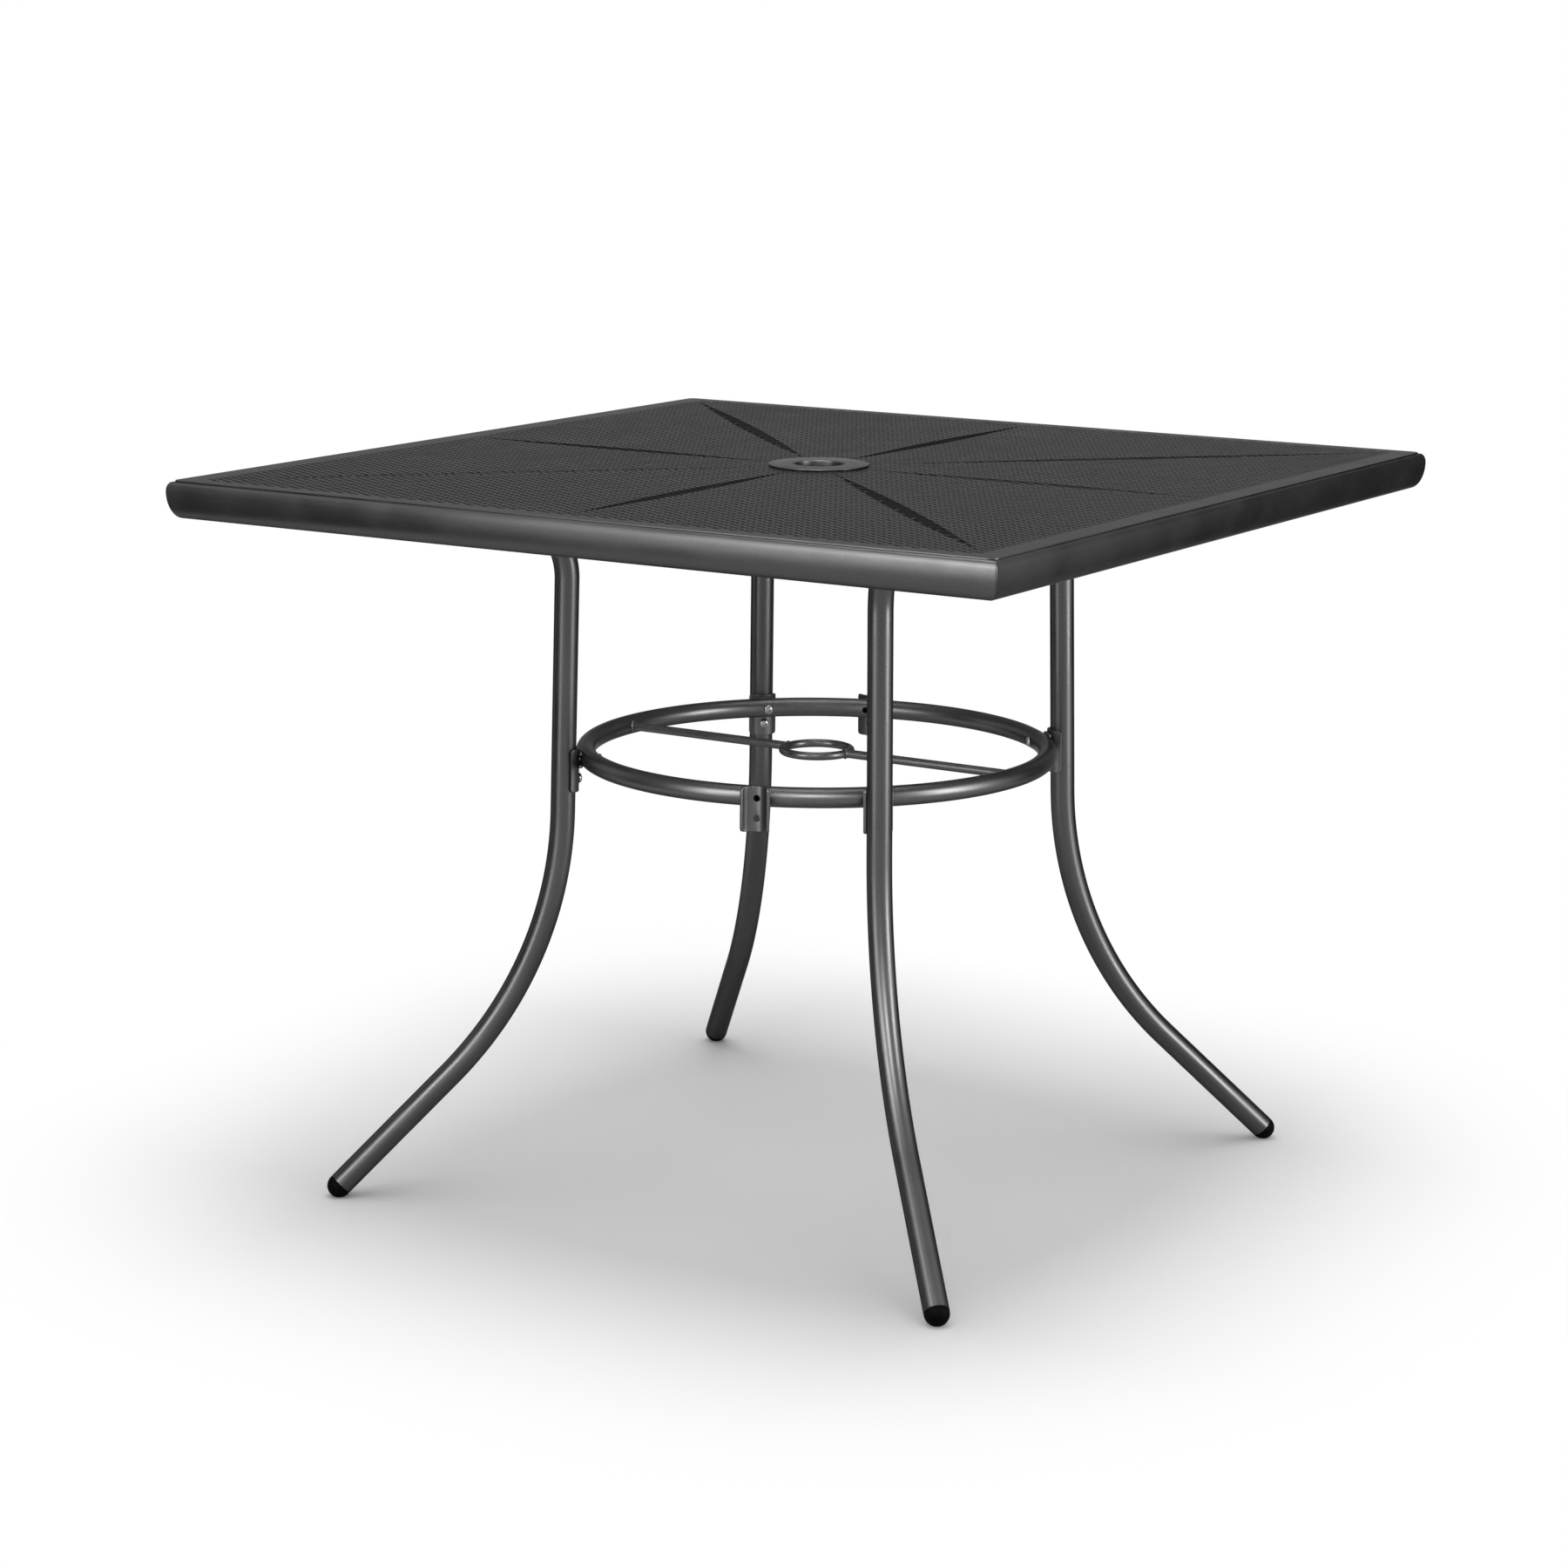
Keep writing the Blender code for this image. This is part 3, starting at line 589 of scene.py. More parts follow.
def finish_material(name, colour, roughness, metallic, specular, look):
    """Make a finish with cloudy tone, fine grain, worn edges, uneven gloss and a fine relief, and where
    asked painted shade in the slots.
    """
    material = bpy.data.materials.new(name)
    material.use_nodes = True
    tree = material.node_tree
    shader = tree.nodes["Principled BSDF"]
    tint = look["edge_tint"]
    set_inputs(shader, {
        "Metallic": metallic, "Specular IOR Level": specular, "Specular Tint": (tint, tint, tint, 1.0)})
    coordinates = node_coordinates(tree)
    cloud = noise(tree, coordinates, cloud_scale, 3.0)
    grain = noise(tree, coordinates, look["grain_scale"] * 1.7, 2.0)
    tone = blended(tree, cloud, toned(colour, 1.0 - look["cloud"]), toned(colour, 1.0 + look["cloud"]))
    speckle = blended(
        tree, grain, toned(middle_grey, 1.0 - look["speckle"]), toned(middle_grey, 1.0 + look["speckle"]))
    mixed = blended(tree, 1.0, tone, speckle, "OVERLAY")
    geometry = tree.nodes.new("ShaderNodeNewGeometry")
    edges = stretched(tree, geometry.outputs["Pointiness"], 0.54, 0.66, 0.0, look["wear"])
    patches = noise(tree, coordinates, patch_scale, 4.0, 0.42, 0.6)
    worn = arithmetic(tree, "MULTIPLY", edges, patches)
    colour_out = blended(tree, worn, mixed, toned(colour, look["bare"]))
    # Painted shade: the upright wall faces of the slots turn darker, as the shade inside the holes
    if look["slot_shade"] < 1.0:
        colour_out = paint_slot_wall_shade(tree, coordinates, colour_out, toned(colour, look["slot_shade"]))
    tree.links.new(colour_out, shader.inputs["Base Color"])
    smudges = noise(tree, coordinates, smudge_scale, 5.0, 0.35, 0.68)
    gloss = stretched(tree, smudges, 0.0, 1.0, roughness - look["uneven"], roughness + look["uneven"])
    tree.links.new(gloss, shader.inputs["Roughness"])
    peel = noise(tree, coordinates, look["grain_scale"], 2.0, 0.25, 0.75)
    bump = tree.nodes.new("ShaderNodeBump")
    set_inputs(bump, {"Strength": 0.6, "Distance": look["grain_depth"]})
    tree.links.new(peel, bump.inputs["Height"])
    tree.links.new(bump.outputs["Normal"], shader.inputs["Normal"])
    return material


def find_material(name):
    """Give one of the table's finishes, made on first use."""
    if name in bpy.data.materials:
        return bpy.data.materials[name]
    finishes = bpy.context.scene.garden_table_finishes
    paint = finishes.paint
    rough = finishes.paint_roughness
    metal = finishes.paint_metal
    scale = finishes.grain_scale
    depth = finishes.grain_depth
    # The last key keeps this share of the colour on the slot wall faces, as painted shade; 1.0 paints none
    coat = {
        "edge_tint": 0.21, "grain_scale": scale, "grain_depth": depth, "cloud": 0.05, "speckle": 0.10,
        "wear": 0.25, "bare": 1.9, "uneven": 0.04, "slot_shade": 1.0}
    # Colour and its factor, roughness, metal, specular level, and what differs from the coat
    table = {
        "graphite_powder_coat": (paint, 1.0, rough, metal, 0.25, {}),
        # Top sheet: the same coat with a lower edge tint, so the whole sheet reflects darker as painted
        # shade, plus painted shade on its slot wall faces
        "sheet_coat_with_painted_shade": (
            paint, 1.0, rough, metal, 0.25, {"edge_tint": 0.125, "wear": 0.0, "slot_shade": 0.2}),
        # Pressed grooves: a darker, less reflective copy of the sheet's coat, as painted shade in the
        # grooves
        "groove_painted_shade_coat": (
            paint, 0.45, rough, 0.9, 0.05, {"edge_tint": 0.02, "wear": 0.0, "slot_shade": 0.2}),
        # Ring, bars and saddles: the same coat made 1.3 times lighter, as painted light
        "ring_painted_light_coat": (paint, 1.3, rough, metal, 0.25, {}),
        # Welds: the same coat made 1.5 times lighter as painted highlight, with a coarser relief and more
        # uneven gloss
        "weld_painted_highlight_coat": (
            paint, 1.5, rough, metal, 0.25,
            {"grain_scale": scale * 0.7, "grain_depth": depth * 4, "uneven": 0.09}),
        "hub_powder_coat_finish": (
            finishes.hub_paint, 1.0, rough, metal, 0.25, {"edge_tint": 0.27, "cloud": 0.04, "wear": 0.35}),
        "moulded_plastic": (
            finishes.plastic, 1.0, 0.6, 0.0, 0.03,
            {"edge_tint": 1.0, "grain_scale": 900.0, "grain_depth": 0.00003, "wear": 0.5, "bare": 3.0,
             "speckle": 0.15}),
        "blackened_steel": (
            finishes.steel, 1.0, 0.26, 0.9, 0.4,
            {"grain_scale": 1400.0, "grain_depth": 0.00002, "wear": 0.7, "bare": 2.6, "cloud": 0.15,
             "uneven": 0.08}),
    }
    colour, factor, roughness, metallic, specular, changes = table[name]
    return finish_material(
        name, toned(colour, factor), roughness, metallic, specular, dict(coat, **changes))


def sheet_quarter(sizes, side_x, side_y):
    """Make one quarter of the perforated sheet, flat and at height 0."""
    width = sizes.slot_spacing / 2
    height = sizes.row_spacing
    half_slot = sizes.slot_width / 2
    reach = sizes.slot_length / 2
    middle = height / 2
    hole = bpy.context.scene.garden_table_hub.bore_radius + sleeve_clearance
    numbers = {}
    points = []
    faces = []

    def point(x, y):
        key = (round(x * 1e6), round(y * 1e6))
        if key not in numbers:
            numbers[key] = len(points)
            points.append((x, y, 0.0))
        return numbers[key]

    end = reach - slot_end_in * half_slot
    aside = slot_end_out * half_slot
    rounding = [
        (reach - half_slot, middle - half_slot), (end, middle - aside), (reach, middle),
        (end, middle + aside), (reach - half_slot, middle + half_slot)]
    template = [(0.0, 0.0), (width, 0.0), (width, height), (0.0, height)]
    template += [(0.0, middle - half_slot)] + rounding + [(0.0, middle + half_slot)]
    pieces = [(0, 1, 5, 4), (1, 6, 5), (1, 7, 6), (1, 2, 7), (2, 8, 7), (2, 9, 8), (2, 3, 10, 9)]
    for column in range(sizes.columns):
        for row in range(sizes.rows):
            if column < plain_columns and row < plain_rows:
                continue
            odd = (column + row + (side_y < 0)) % 2 == 1
            left = column * width
            bottom = row * height
            open_edge = column + 1 if odd else column
            plain = open_edge == sizes.columns or (open_edge == plain_columns and row < plain_rows)
            if plain:
                faces.append([point(left + x, bottom + y) for x, y in template[:4]])
                continue
            numbers_here = []
            for x, y in template:
                across = width - x if odd else x
                numbers_here.append(point(left + across, bottom + y))
            for piece in pieces:
                face = [numbers_here[index] for index in piece]
                faces.append(face[::-1] if odd else face)
    far_x = sizes.columns * width
    far_y = sizes.rows * height
    edge = sizes.half_width
    right_side = [(far_x, row * height) for row in range(sizes.rows, -1, -1)]
    faces.append([point(x, y) for x, y in right_side + [(edge, 0.0), (edge, far_y)]])
    upper_side = [(column * width, far_y) for column in range(sizes.columns + 1)]
    faces.append([point(x, y) for x, y in upper_side + [(far_x, edge), (0.0, edge)]])
    inset = edge - sizes.corner_radius
    corner = arc((inset, inset), sizes.corner_radius, sizes.corner_radius, 0.0, math.pi / 2, 8)
    faces.append([point(x, y) for x, y in [(far_x, far_y), (edge, far_y)] + corner + [(far_x, edge)]])
    plain_x = plain_columns * width
    plain_y = plain_rows * height
    plain_side = [(plain_x, row * height) for row in range(plain_rows + 1)]
    plain_top = [(column * width, plain_y) for column in range(plain_columns - 1, -1, -1)]
    hole_arc = arc((0.0, 0.0), hole, hole, math.pi / 2, 0.0, 16)
    faces.append([point(x, y) for x, y in plain_side + plain_top + hole_arc])

    sheet = bmesh.new()
    vertices = [sheet.verts.new(place) for place in points]
    for face in faces:
        sheet.faces.new([vertices[index] for index in face])
    press_grooves(sheet, sizes)
    for vertex in sheet.verts:
        vertex.co.x *= side_x
        vertex.co.y *= side_y
    if side_x * side_y < 0:
        bmesh.ops.reverse_faces(sheet, faces=sheet.faces)
    mesh = bpy.data.meshes.new("top_sheet")
    sheet.to_mesh(mesh)
    sheet.free()
    return mesh


def groove_reach(sizes, share):
    """Half the width of a groove at a share of its length."""
    return sizes.groove_half_width * math.sin(math.pi * share)


def outline_grooves(sheet, sizes, lines):
    """Cut a quarter of the sheet along the curved outlines of its grooves, in short spans."""
    for direction, aside, end in lines:
        length = end - sizes.groove_start
        for span in range(groove_spans):
            start = sizes.groove_start + length * span / groove_spans
            stop = sizes.groove_start + length * (span + 1) / groove_spans
            near = []
            for face in sheet.faces:
                middle = face.calc_center_median()
                beside = start - span_overlap < middle.dot(direction) < stop + span_overlap
                if beside and abs(middle.dot(aside)) < groove_field:
                    near.append(face)
            for side in (-1.0, 1.0):
                first = direction * start + aside * side * groove_reach(sizes, span / groove_spans)
                last = direction * stop + aside * side * groove_reach(sizes, (span + 1) / groove_spans)
                run = (last - first).normalized()
                kept = [face for face in near if face.is_valid]
                region = dict.fromkeys(item for face in kept for item in (face, *face.edges, *face.verts))
                parts = split_plane(sheet, first, Vector((-run.y, run.x, 0.0)), list(region))
                near = [item for item in parts if isinstance(item, bmesh.types.BMFace)]


def press_grooves(sheet, sizes):
    """Cut a quarter of the sheet along its grooves, and press them down, deepest half way."""
    lines = []
    for angle in (0.0, 45.0, 90.0):
        direction = Vector((math.cos(math.radians(angle)), math.sin(math.radians(angle)), 0.0))
        aside = Vector((-direction.y, direction.x, 0.0))
        end = sizes.groove_end / max(direction.x, direction.y)
        lines.append((direction, aside, end))
        split_plane(sheet, (0.0, 0.0, 0.0), aside)
    outline_grooves(sheet, sizes, lines)
    for face in sheet.faces:
        middle = face.calc_center_median()
        for direction, aside, end in lines:
            share = (middle.dot(direction) - sizes.groove_start) / (end - sizes.groove_start)
            if 0.0 < share < 1.0 and abs(middle.dot(aside)) < groove_reach(sizes, share):
                # Faces in the grooves take the second finish, which paints shade into the grooves
                face.material_index = 1
    for vertex in sheet.verts:
        pressed = min(1.0, pressed_depth(vertex.co, sizes, lines) / (closing_depth * sizes.groove_depth))
        if pressed > 0.0:
            vertex.co.y = closed_row(vertex.co.y, sizes, 1.0 - sizes.groove_closing * pressed)
            vertex.co.z = -pressed_depth(vertex.co, sizes, lines)


def pressed_depth(place, sizes, lines):
    """Depth to which the sheet is pressed at a place."""
    slope = sizes.groove_depth / sizes.groove_half_width
    deepest = 0.0
    for direction, aside, end in lines:
        along = place.dot(direction)
        if sizes.groove_start < along < end:
            share = (along - sizes.groove_start) / (end - sizes.groove_start)
            depth = sizes.groove_depth * math.sin(math.pi * share) - abs(place.dot(aside)) * slope
            deepest = max(deepest, depth)
    return deepest


def closed_row(y, sizes, opening):
    """Move a place across its row of slots, so that the slots keep only a share of their width."""
    row = math.floor(y / sizes.row_spacing)
    middle = (row + 0.5) * sizes.row_spacing
    half_slot = sizes.slot_width / 2
    half_row = sizes.row_spacing / 2
    reach = abs(y - middle)
    if reach <= half_slot:
        moved = reach * opening
    else:
        moved = half_row - (half_row - reach) * (half_row - half_slot * opening) / (half_row - half_slot)
    return middle + math.copysign(moved, y - middle)


def rail_line(sizes):
    """Outer side of a rail's section: distance in from the fullest line, and height."""
    fullest = sizes.top - sizes.shoulder_height
    line = [(sizes.flange_reach, sizes.top), (sizes.flange_reach * 0.6, sizes.top)]
    line += arc((sizes.shoulder_reach, fullest), sizes.shoulder_reach, sizes.shoulder_height,
                math.pi / 2, math.pi, 12)
    line += arc((sizes.belly_reach, fullest), sizes.belly_reach, fullest - sizes.bottom,
                math.pi, math.pi * 1.5, 24)[1:]
    lip = (sizes.belly_reach + sizes.base_width, sizes.bottom + sizes.lip_radius)
    line += arc(lip, sizes.lip_radius, sizes.lip_radius, -math.pi / 2, 0.0, 6)
    line.append((line[-1][0], line[-1][1] + sizes.lip_height))
    return line


def rail_shape(sizes):
    """Give one rail along the front, mitred at both ends and stopped short for the welds."""
    outer = [Vector(place) for place in rail_line(sizes)]
    inner = offset_line(outer, sizes.wall)
    section = outer + inner[::-1]
    points = []
    for station in range(rail_stations + 1):
        share = station / rail_stations * 2 - 1
        for reach, height in section:
            half = sizes.half_width - reach - sizes.seam_radius * seam_share
            points.append(Vector((half * share, reach - sizes.half_width, height)))
    count = len(section)
    faces = []
    for station in range(rail_stations):
        near = station * count
        for corner in range(count):
            follower = (corner + 1) % count
            faces.append((near + corner, near + follower,
                          near + count + follower, near + count + corner))
    faces.append(tuple(range(count)))
    faces.append(tuple(reversed(range(rail_stations * count, (rail_stations + 1) * count))))
    return points, faces


def mitre_weld(sizes):
    """Give the ground weld along the mitre of the front right corner."""
    line = [Vector(place) for place in rail_line(sizes)][1:-1]
    inner = offset_line(line, sizes.seam_radius)
    path = []
    for reach, height in inner:
        path.append(Vector((sizes.half_width - reach, reach - sizes.half_width, height)))
    fine = []
    for near, far in zip(path, path[1:]):
        steps = max(1, round((far - near).length / seam_step))
        for step in range(steps):
            fine.append(near.lerp(far, step / steps))
    fine.append(path[-1])
    radii = []
    for index in range(len(fine)):
        radii.append(sizes.seam_radius * (0.985 + 0.012 * math.sin(index * 1.3)))
    return swept_tube(fine, radii, 16)


def plate_curve_mesh(name, loops, thickness, rounding):
    """Make a flat plate with rounded edges from its outline and its holes."""
    curve = bpy.data.curves.new(name, "CURVE")
    curve.dimensions = "2D"
    curve.fill_mode = "BOTH"
    curve.extrude = thickness / 2 - rounding
    curve.bevel_depth = rounding
    curve.bevel_resolution = 2
    curve.offset = -rounding
    for loop in loops:
        spline = curve.splines.new("POLY")
        spline.points.add(len(loop) - 1)
        spline.use_cyclic_u = True
        for point, place in zip(spline.points, loop):
            point.co = (place[0], place[1], 0.0, 1.0)
    guide = add_object(name, curve)
    evaluated = guide.evaluated_get(bpy.context.evaluated_depsgraph_get())
    mesh = bpy.data.meshes.new_from_object(evaluated)
    bpy.data.objects.remove(guide)
    return mesh


def rounded_outline(low_x, high_x, low_y, high_y, radius):
    """Give the outline of a rectangle with rounded corners."""
    points = arc((high_x - radius, low_y + radius), radius, radius, -math.pi / 2, 0.0, 8)
    points += arc((high_x - radius, high_y - radius), radius, radius, 0.0, math.pi / 2, 8)
    points += arc((low_x + radius, high_y - radius), radius, radius, math.pi / 2, math.pi, 8)
    points += arc((low_x + radius, low_y + radius), radius, radius, math.pi, math.pi * 1.5, 8)
    return points


def leg_corners(sizes):
    """Corners of a leg's middle line: dome of the foot, tube end, knee, shoulder and run end."""
    ring = bpy.context.scene.garden_table_ring
    dome = Vector((sizes.foot_reach, 0.0, sizes.tube_radius - foot_flat_depth))
    slope = math.tan(sizes.lean)
    knee = Vector((sizes.waist + (ring.height - sizes.knee_height) * slope, 0.0, sizes.knee_height))
    shoulder = Vector((sizes.waist - (sizes.run_height - ring.height) * slope, 0.0, sizes.run_height))
    run_end = Vector((sizes.run_end, 0.0, sizes.run_height))
    tube_end = dome + (knee - dome).normalized() * (sizes.cap_collar + sizes.cap_gap)
    return dome, tube_end, knee, shoulder, run_end


def saddle_radii():
    """Radii of a saddle plate's inner and outer face about the leg's middle line."""
    leg = bpy.context.scene.garden_table_legs
    ring = bpy.context.scene.garden_table_ring
    widening = 1.0 / math.cos(ring.saddle_half_angle / saddle_columns)
    inner = (leg.tube_radius + touch_gap) * widening
    outer = (leg.tube_radius + touch_gap + ring.saddle_thickness) * widening
    return inner, outer


def ring_seat():
    """Distance between the middle lines of a leg and of the ring, at a saddle plate."""
    return saddle_radii()[1] + touch_gap + bpy.context.scene.garden_table_ring.tube_radius


def bracket_place():
    """Distance from the middle, and height, of a saddle plate's place on the leg's line."""
    leg = bpy.context.scene.garden_table_legs
    ring = bpy.context.scene.garden_table_ring
    height = ring.height + ring_seat() * math.sin(leg.lean)
    return leg.waist - (height - ring.height) * math.tan(leg.lean), height


def stretcher_radius():
    """Radius of the stretcher ring's middle line."""
    return bracket_place()[0] - ring_seat() * math.cos(bpy.context.scene.garden_table_legs.lean)


def bracket_frame(angle):
    """Frame on a leg's line at the ring: X to the middle of the table, Z up along the leg."""
    leg = bpy.context.scene.garden_table_legs
    radius, height = bracket_place()
    facing = Matrix.Rotation(math.pi, 4, "Z") @ Matrix.Rotation(leg.lean, 4, "Y")
    return around(angle) @ Matrix.Translation((radius, 0.0, height)) @ facing


class GARDENTABLE_OT_top_sheet(bpy.types.Operator):
    """Add the perforated top sheet with its pressed grooves, in four quarters"""

    bl_idname = "garden_table.top_sheet"
    bl_label = "Top Sheet"

    def execute(self, context):
        """Build each quarter, give it its thickness, and put it in the place of the panel."""
        sizes = context.scene.garden_table_top
        for corner, (side_x, side_y) in quarters.items():
            mesh = sheet_quarter(sizes, side_x, side_y)
            mesh.transform(Matrix.Translation((0.0, 0.0, sizes.height)))
            finishes = [polygon.material_index for polygon in mesh.polygons]
            # The sheet's finish is a darker-reflecting copy of the coat, painted shade
            piece = add_piece(
                f"top_sheet_{corner}", mesh, "sheet_coat_with_painted_shade", ["top_panel"])
            # Second finish on the groove faces: painted shade
            mesh.materials.append(find_material("groove_painted_shade_coat"))
            mesh.polygons.foreach_set("material_index", finishes)
            modifier = piece.modifiers.new("Thickness", "SOLIDIFY")
            modifier.thickness = sizes.thickness
            modifier.offset = -1.0
            modifier.use_rim = True
        return {"FINISHED"}


class GARDENTABLE_OT_rim(bpy.types.Operator):
    """Add the four rolled rim rails and the ground welds of their mitres"""

    bl_idname = "garden_table.rim"
    bl_label = "Rim"

    def execute(self, context):
        """Build one rail and one weld, and turn them to the four sides and corners."""
        sizes = context.scene.garden_table_rim
        paint = "graphite_powder_coat"
        shape = rail_shape(sizes)
        seam = mitre_weld(sizes)
        for index, side in enumerate(("front", "right", "back", "left")):
            turn = around(90.0 * index)
            mesh = shape_mesh("rim_rail", placed(shape, turn), 30.0)
            add_piece(f"rim_{side}", mesh, paint, [f"rim_rail_{side}"])
            mesh = shape_mesh("mitre_weld", placed(seam, turn))
            add_piece(f"mitre_weld_{side}", mesh, paint)
        return {"FINISHED"}


class GARDENTABLE_OT_umbrella_hole(bpy.types.Operator):
    """Add the round plate and the sleeve of the umbrella hole"""

    bl_idname = "garden_table.umbrella_hole"
    bl_label = "Umbrella Hole"

    def execute(self, context):
        """Turn the plate with its rolled edge, and the sleeve with its rounded lip."""
        sizes = context.scene.garden_table_hub
        top = plate_high.z
        edge = sizes.plate_edge
        outer = sizes.plate_radius
        inner = sizes.bore_radius + sizes.sleeve_wall + touch_gap
        chamfer = 0.0003
        profile = [(inner, top - chamfer), (inner + chamfer, top)]
        profile += arc((outer - edge / 2, top - edge / 2), edge / 2, edge / 2, math.pi / 2, -math.pi / 2, 10)
        profile += [(outer - 0.0022, top - edge), (outer - 0.0026, plate_low.z), (inner, plate_low.z)]
        mesh = shape_mesh("umbrella_plate", turned_shape(profile, 128, closed=True), 45.0)
        add_piece("hub_plate", mesh, "hub_powder_coat_finish", ["umbrella_plate"])
        bore = sizes.bore_radius
        wall = sizes.sleeve_wall
        lip = wall / 2
        sleeve = arc((bore + lip, top - lip), lip, lip, math.pi, 0.0, 10)
        cut = 0.0004
        low = sleeve_low.z
        sleeve += [(bore + wall, low + cut), (bore + wall - cut, low), (bore + cut, low), (bore, low + cut)]
        mesh = shape_mesh("umbrella_sleeve", turned_shape(sleeve, 96, closed=True), 45.0)
        add_piece("hub_sleeve", mesh, "hub_powder_coat_finish", ["umbrella_sleeve"])
        return {"FINISHED"}


class GARDENTABLE_OT_legs(bpy.types.Operator):
    """Add the four bent legs and their foot caps"""

    bl_idname = "garden_table.legs"
    bl_label = "Legs"

    def execute(self, context):
        """Sweep the tube along its bends, and turn the caps flat to the floor."""
        sizes = context.scene.garden_table_legs
        dome, tube_end, knee, shoulder, run_end = leg_corners(sizes)
        path = bent_path(
            [tube_end, knee, shoulder, run_end], [sizes.knee_bend, sizes.top_bend], math.radians(1.5))
        radii = [sizes.tube_radius] * len(path)
        chamfer = 0.0004
        radii[0] -= chamfer
        path.insert(1, path[0] + (path[1] - path[0]).normalized() * chamfer)
        radii.insert(1, sizes.tube_radius)
        tube = swept_tube(path, radii, 40)
        radius = sizes.tube_radius
        collar = sizes.cap_collar
        stem = radius - leg_wall
        stem_top = collar + 0.004
        widest = radius - 0.0001
        profile = [(0.0, stem_top), (stem, stem_top), (stem, collar)]
        profile += [(radius - 0.0005, collar), (widest, collar - chamfer)]
        profile += arc((0.0, -chamfer), widest, radius, 0.0, -math.pi / 2, 16)[1:]
        for corner, angle in corners.items():
            turn = around(angle)
            mesh = shape_mesh("leg", placed(tube, turn))
            add_piece(
                f"leg_tube_{corner}", mesh, "graphite_powder_coat", [f"leg_{corner}"])
            cap = placed(turned_shape(profile, 40), turn @ aim(dome, knee - dome))
            flat = [Vector((point.x, point.y, max(point.z, 0.0))) for point in cap[0]]
            mesh = shape_mesh("foot", (flat, cap[1]), 32.0)
            add_piece(f"foot_{corner}", mesh, "moulded_plastic", [f"foot_cap_{corner}"])
        return {"FINISHED"}


class GARDENTABLE_OT_stretcher(bpy.types.Operator):
    """Add the stretcher ring, the crossbar and the umbrella ring, with their welds"""

    bl_idname = "garden_table.stretcher"
    bl_label = "Stretcher"

    def execute(self, context):
        """Bend the ring with the bare saddles' holes, and weld the bars between the rings."""
        sizes = context.scene.garden_table_ring
        # The ring and its bars take the lighter copy of the paint: painted light
        paint = "ring_painted_light_coat"
        ring_radius = stretcher_radius()
        bore_radius = sizes.tube_radius - sizes.tube_wall
        tube = shape_mesh("ring_outside", ring_shape(ring_radius, sizes.height, sizes.tube_radius, 192, 32))
        cutters = [shape_mesh("ring_bore", ring_shape(ring_radius, sizes.height, bore_radius, 192, 32))]
        for angle in spare_saddles.values():
            start = bracket_frame(angle).to_translation()
            end = bracket_frame(angle) @ Vector((ring_seat() * 2, 0.0, 0.0))
            drill = swept_tube([start, end], [sizes.hole_radius] * 2, 24)
            cutters.append(shape_mesh("drill", drill))
        mesh = cut_mesh(tube, cutters)
        add_piece("stretcher", mesh, paint, ["stretcher_ring"])
        loop_middle = sizes.loop_radius - sizes.loop_rod
        mesh = shape_mesh("umbrella_loop", ring_shape(loop_middle, sizes.height, sizes.loop_rod, 96, 24))
        add_piece("umbrella_loop", mesh, paint, ["umbrella_ring"])
        for side, angle in (("right", 0.0), ("left", 180.0)):
            turn = around(angle)
            start = turn @ Vector((bar_low.x, 0.0, sizes.height))
            end = turn @ Vector((bar_high.x, 0.0, sizes.height))
            shape = swept_tube([start, end], [sizes.bar_radius] * 2, 32)
            mesh = shape_mesh("crossbar", shape)
            add_piece(f"bar_{side}", mesh, paint, [f"crossbar_{side}"])
            beads = []
            ends = (
                (ring_radius, sizes.tube_radius, -1.0, ring_weld_radius),
                (loop_middle, sizes.loop_rod, 1.0, loop_weld_radius))
            for middle, rod, facing, bead_radius in ends:
                path = []
                for index in range(40):
                    turned = math.tau * index / 40
                    across = sizes.bar_radius * math.cos(turned)
                    up = sizes.bar_radius * math.sin(turned)
                    reach = math.sqrt(max(rod ** 2 - up ** 2, 0.0))
                    reach = math.sqrt((middle + facing * reach) ** 2 - across ** 2)
                    path.append(turn @ Vector((reach, across, sizes.height + up)))
                beads.append(weld_bead(path, bead_radius, closed=True))
            mesh = shape_mesh("crossbar_weld", joined(beads))
            # The crossbar welds take the lighter copy of the paint: painted highlight
            add_piece(f"bar_weld_{side}", mesh, "weld_painted_highlight_coat")
        return {"FINISHED"}


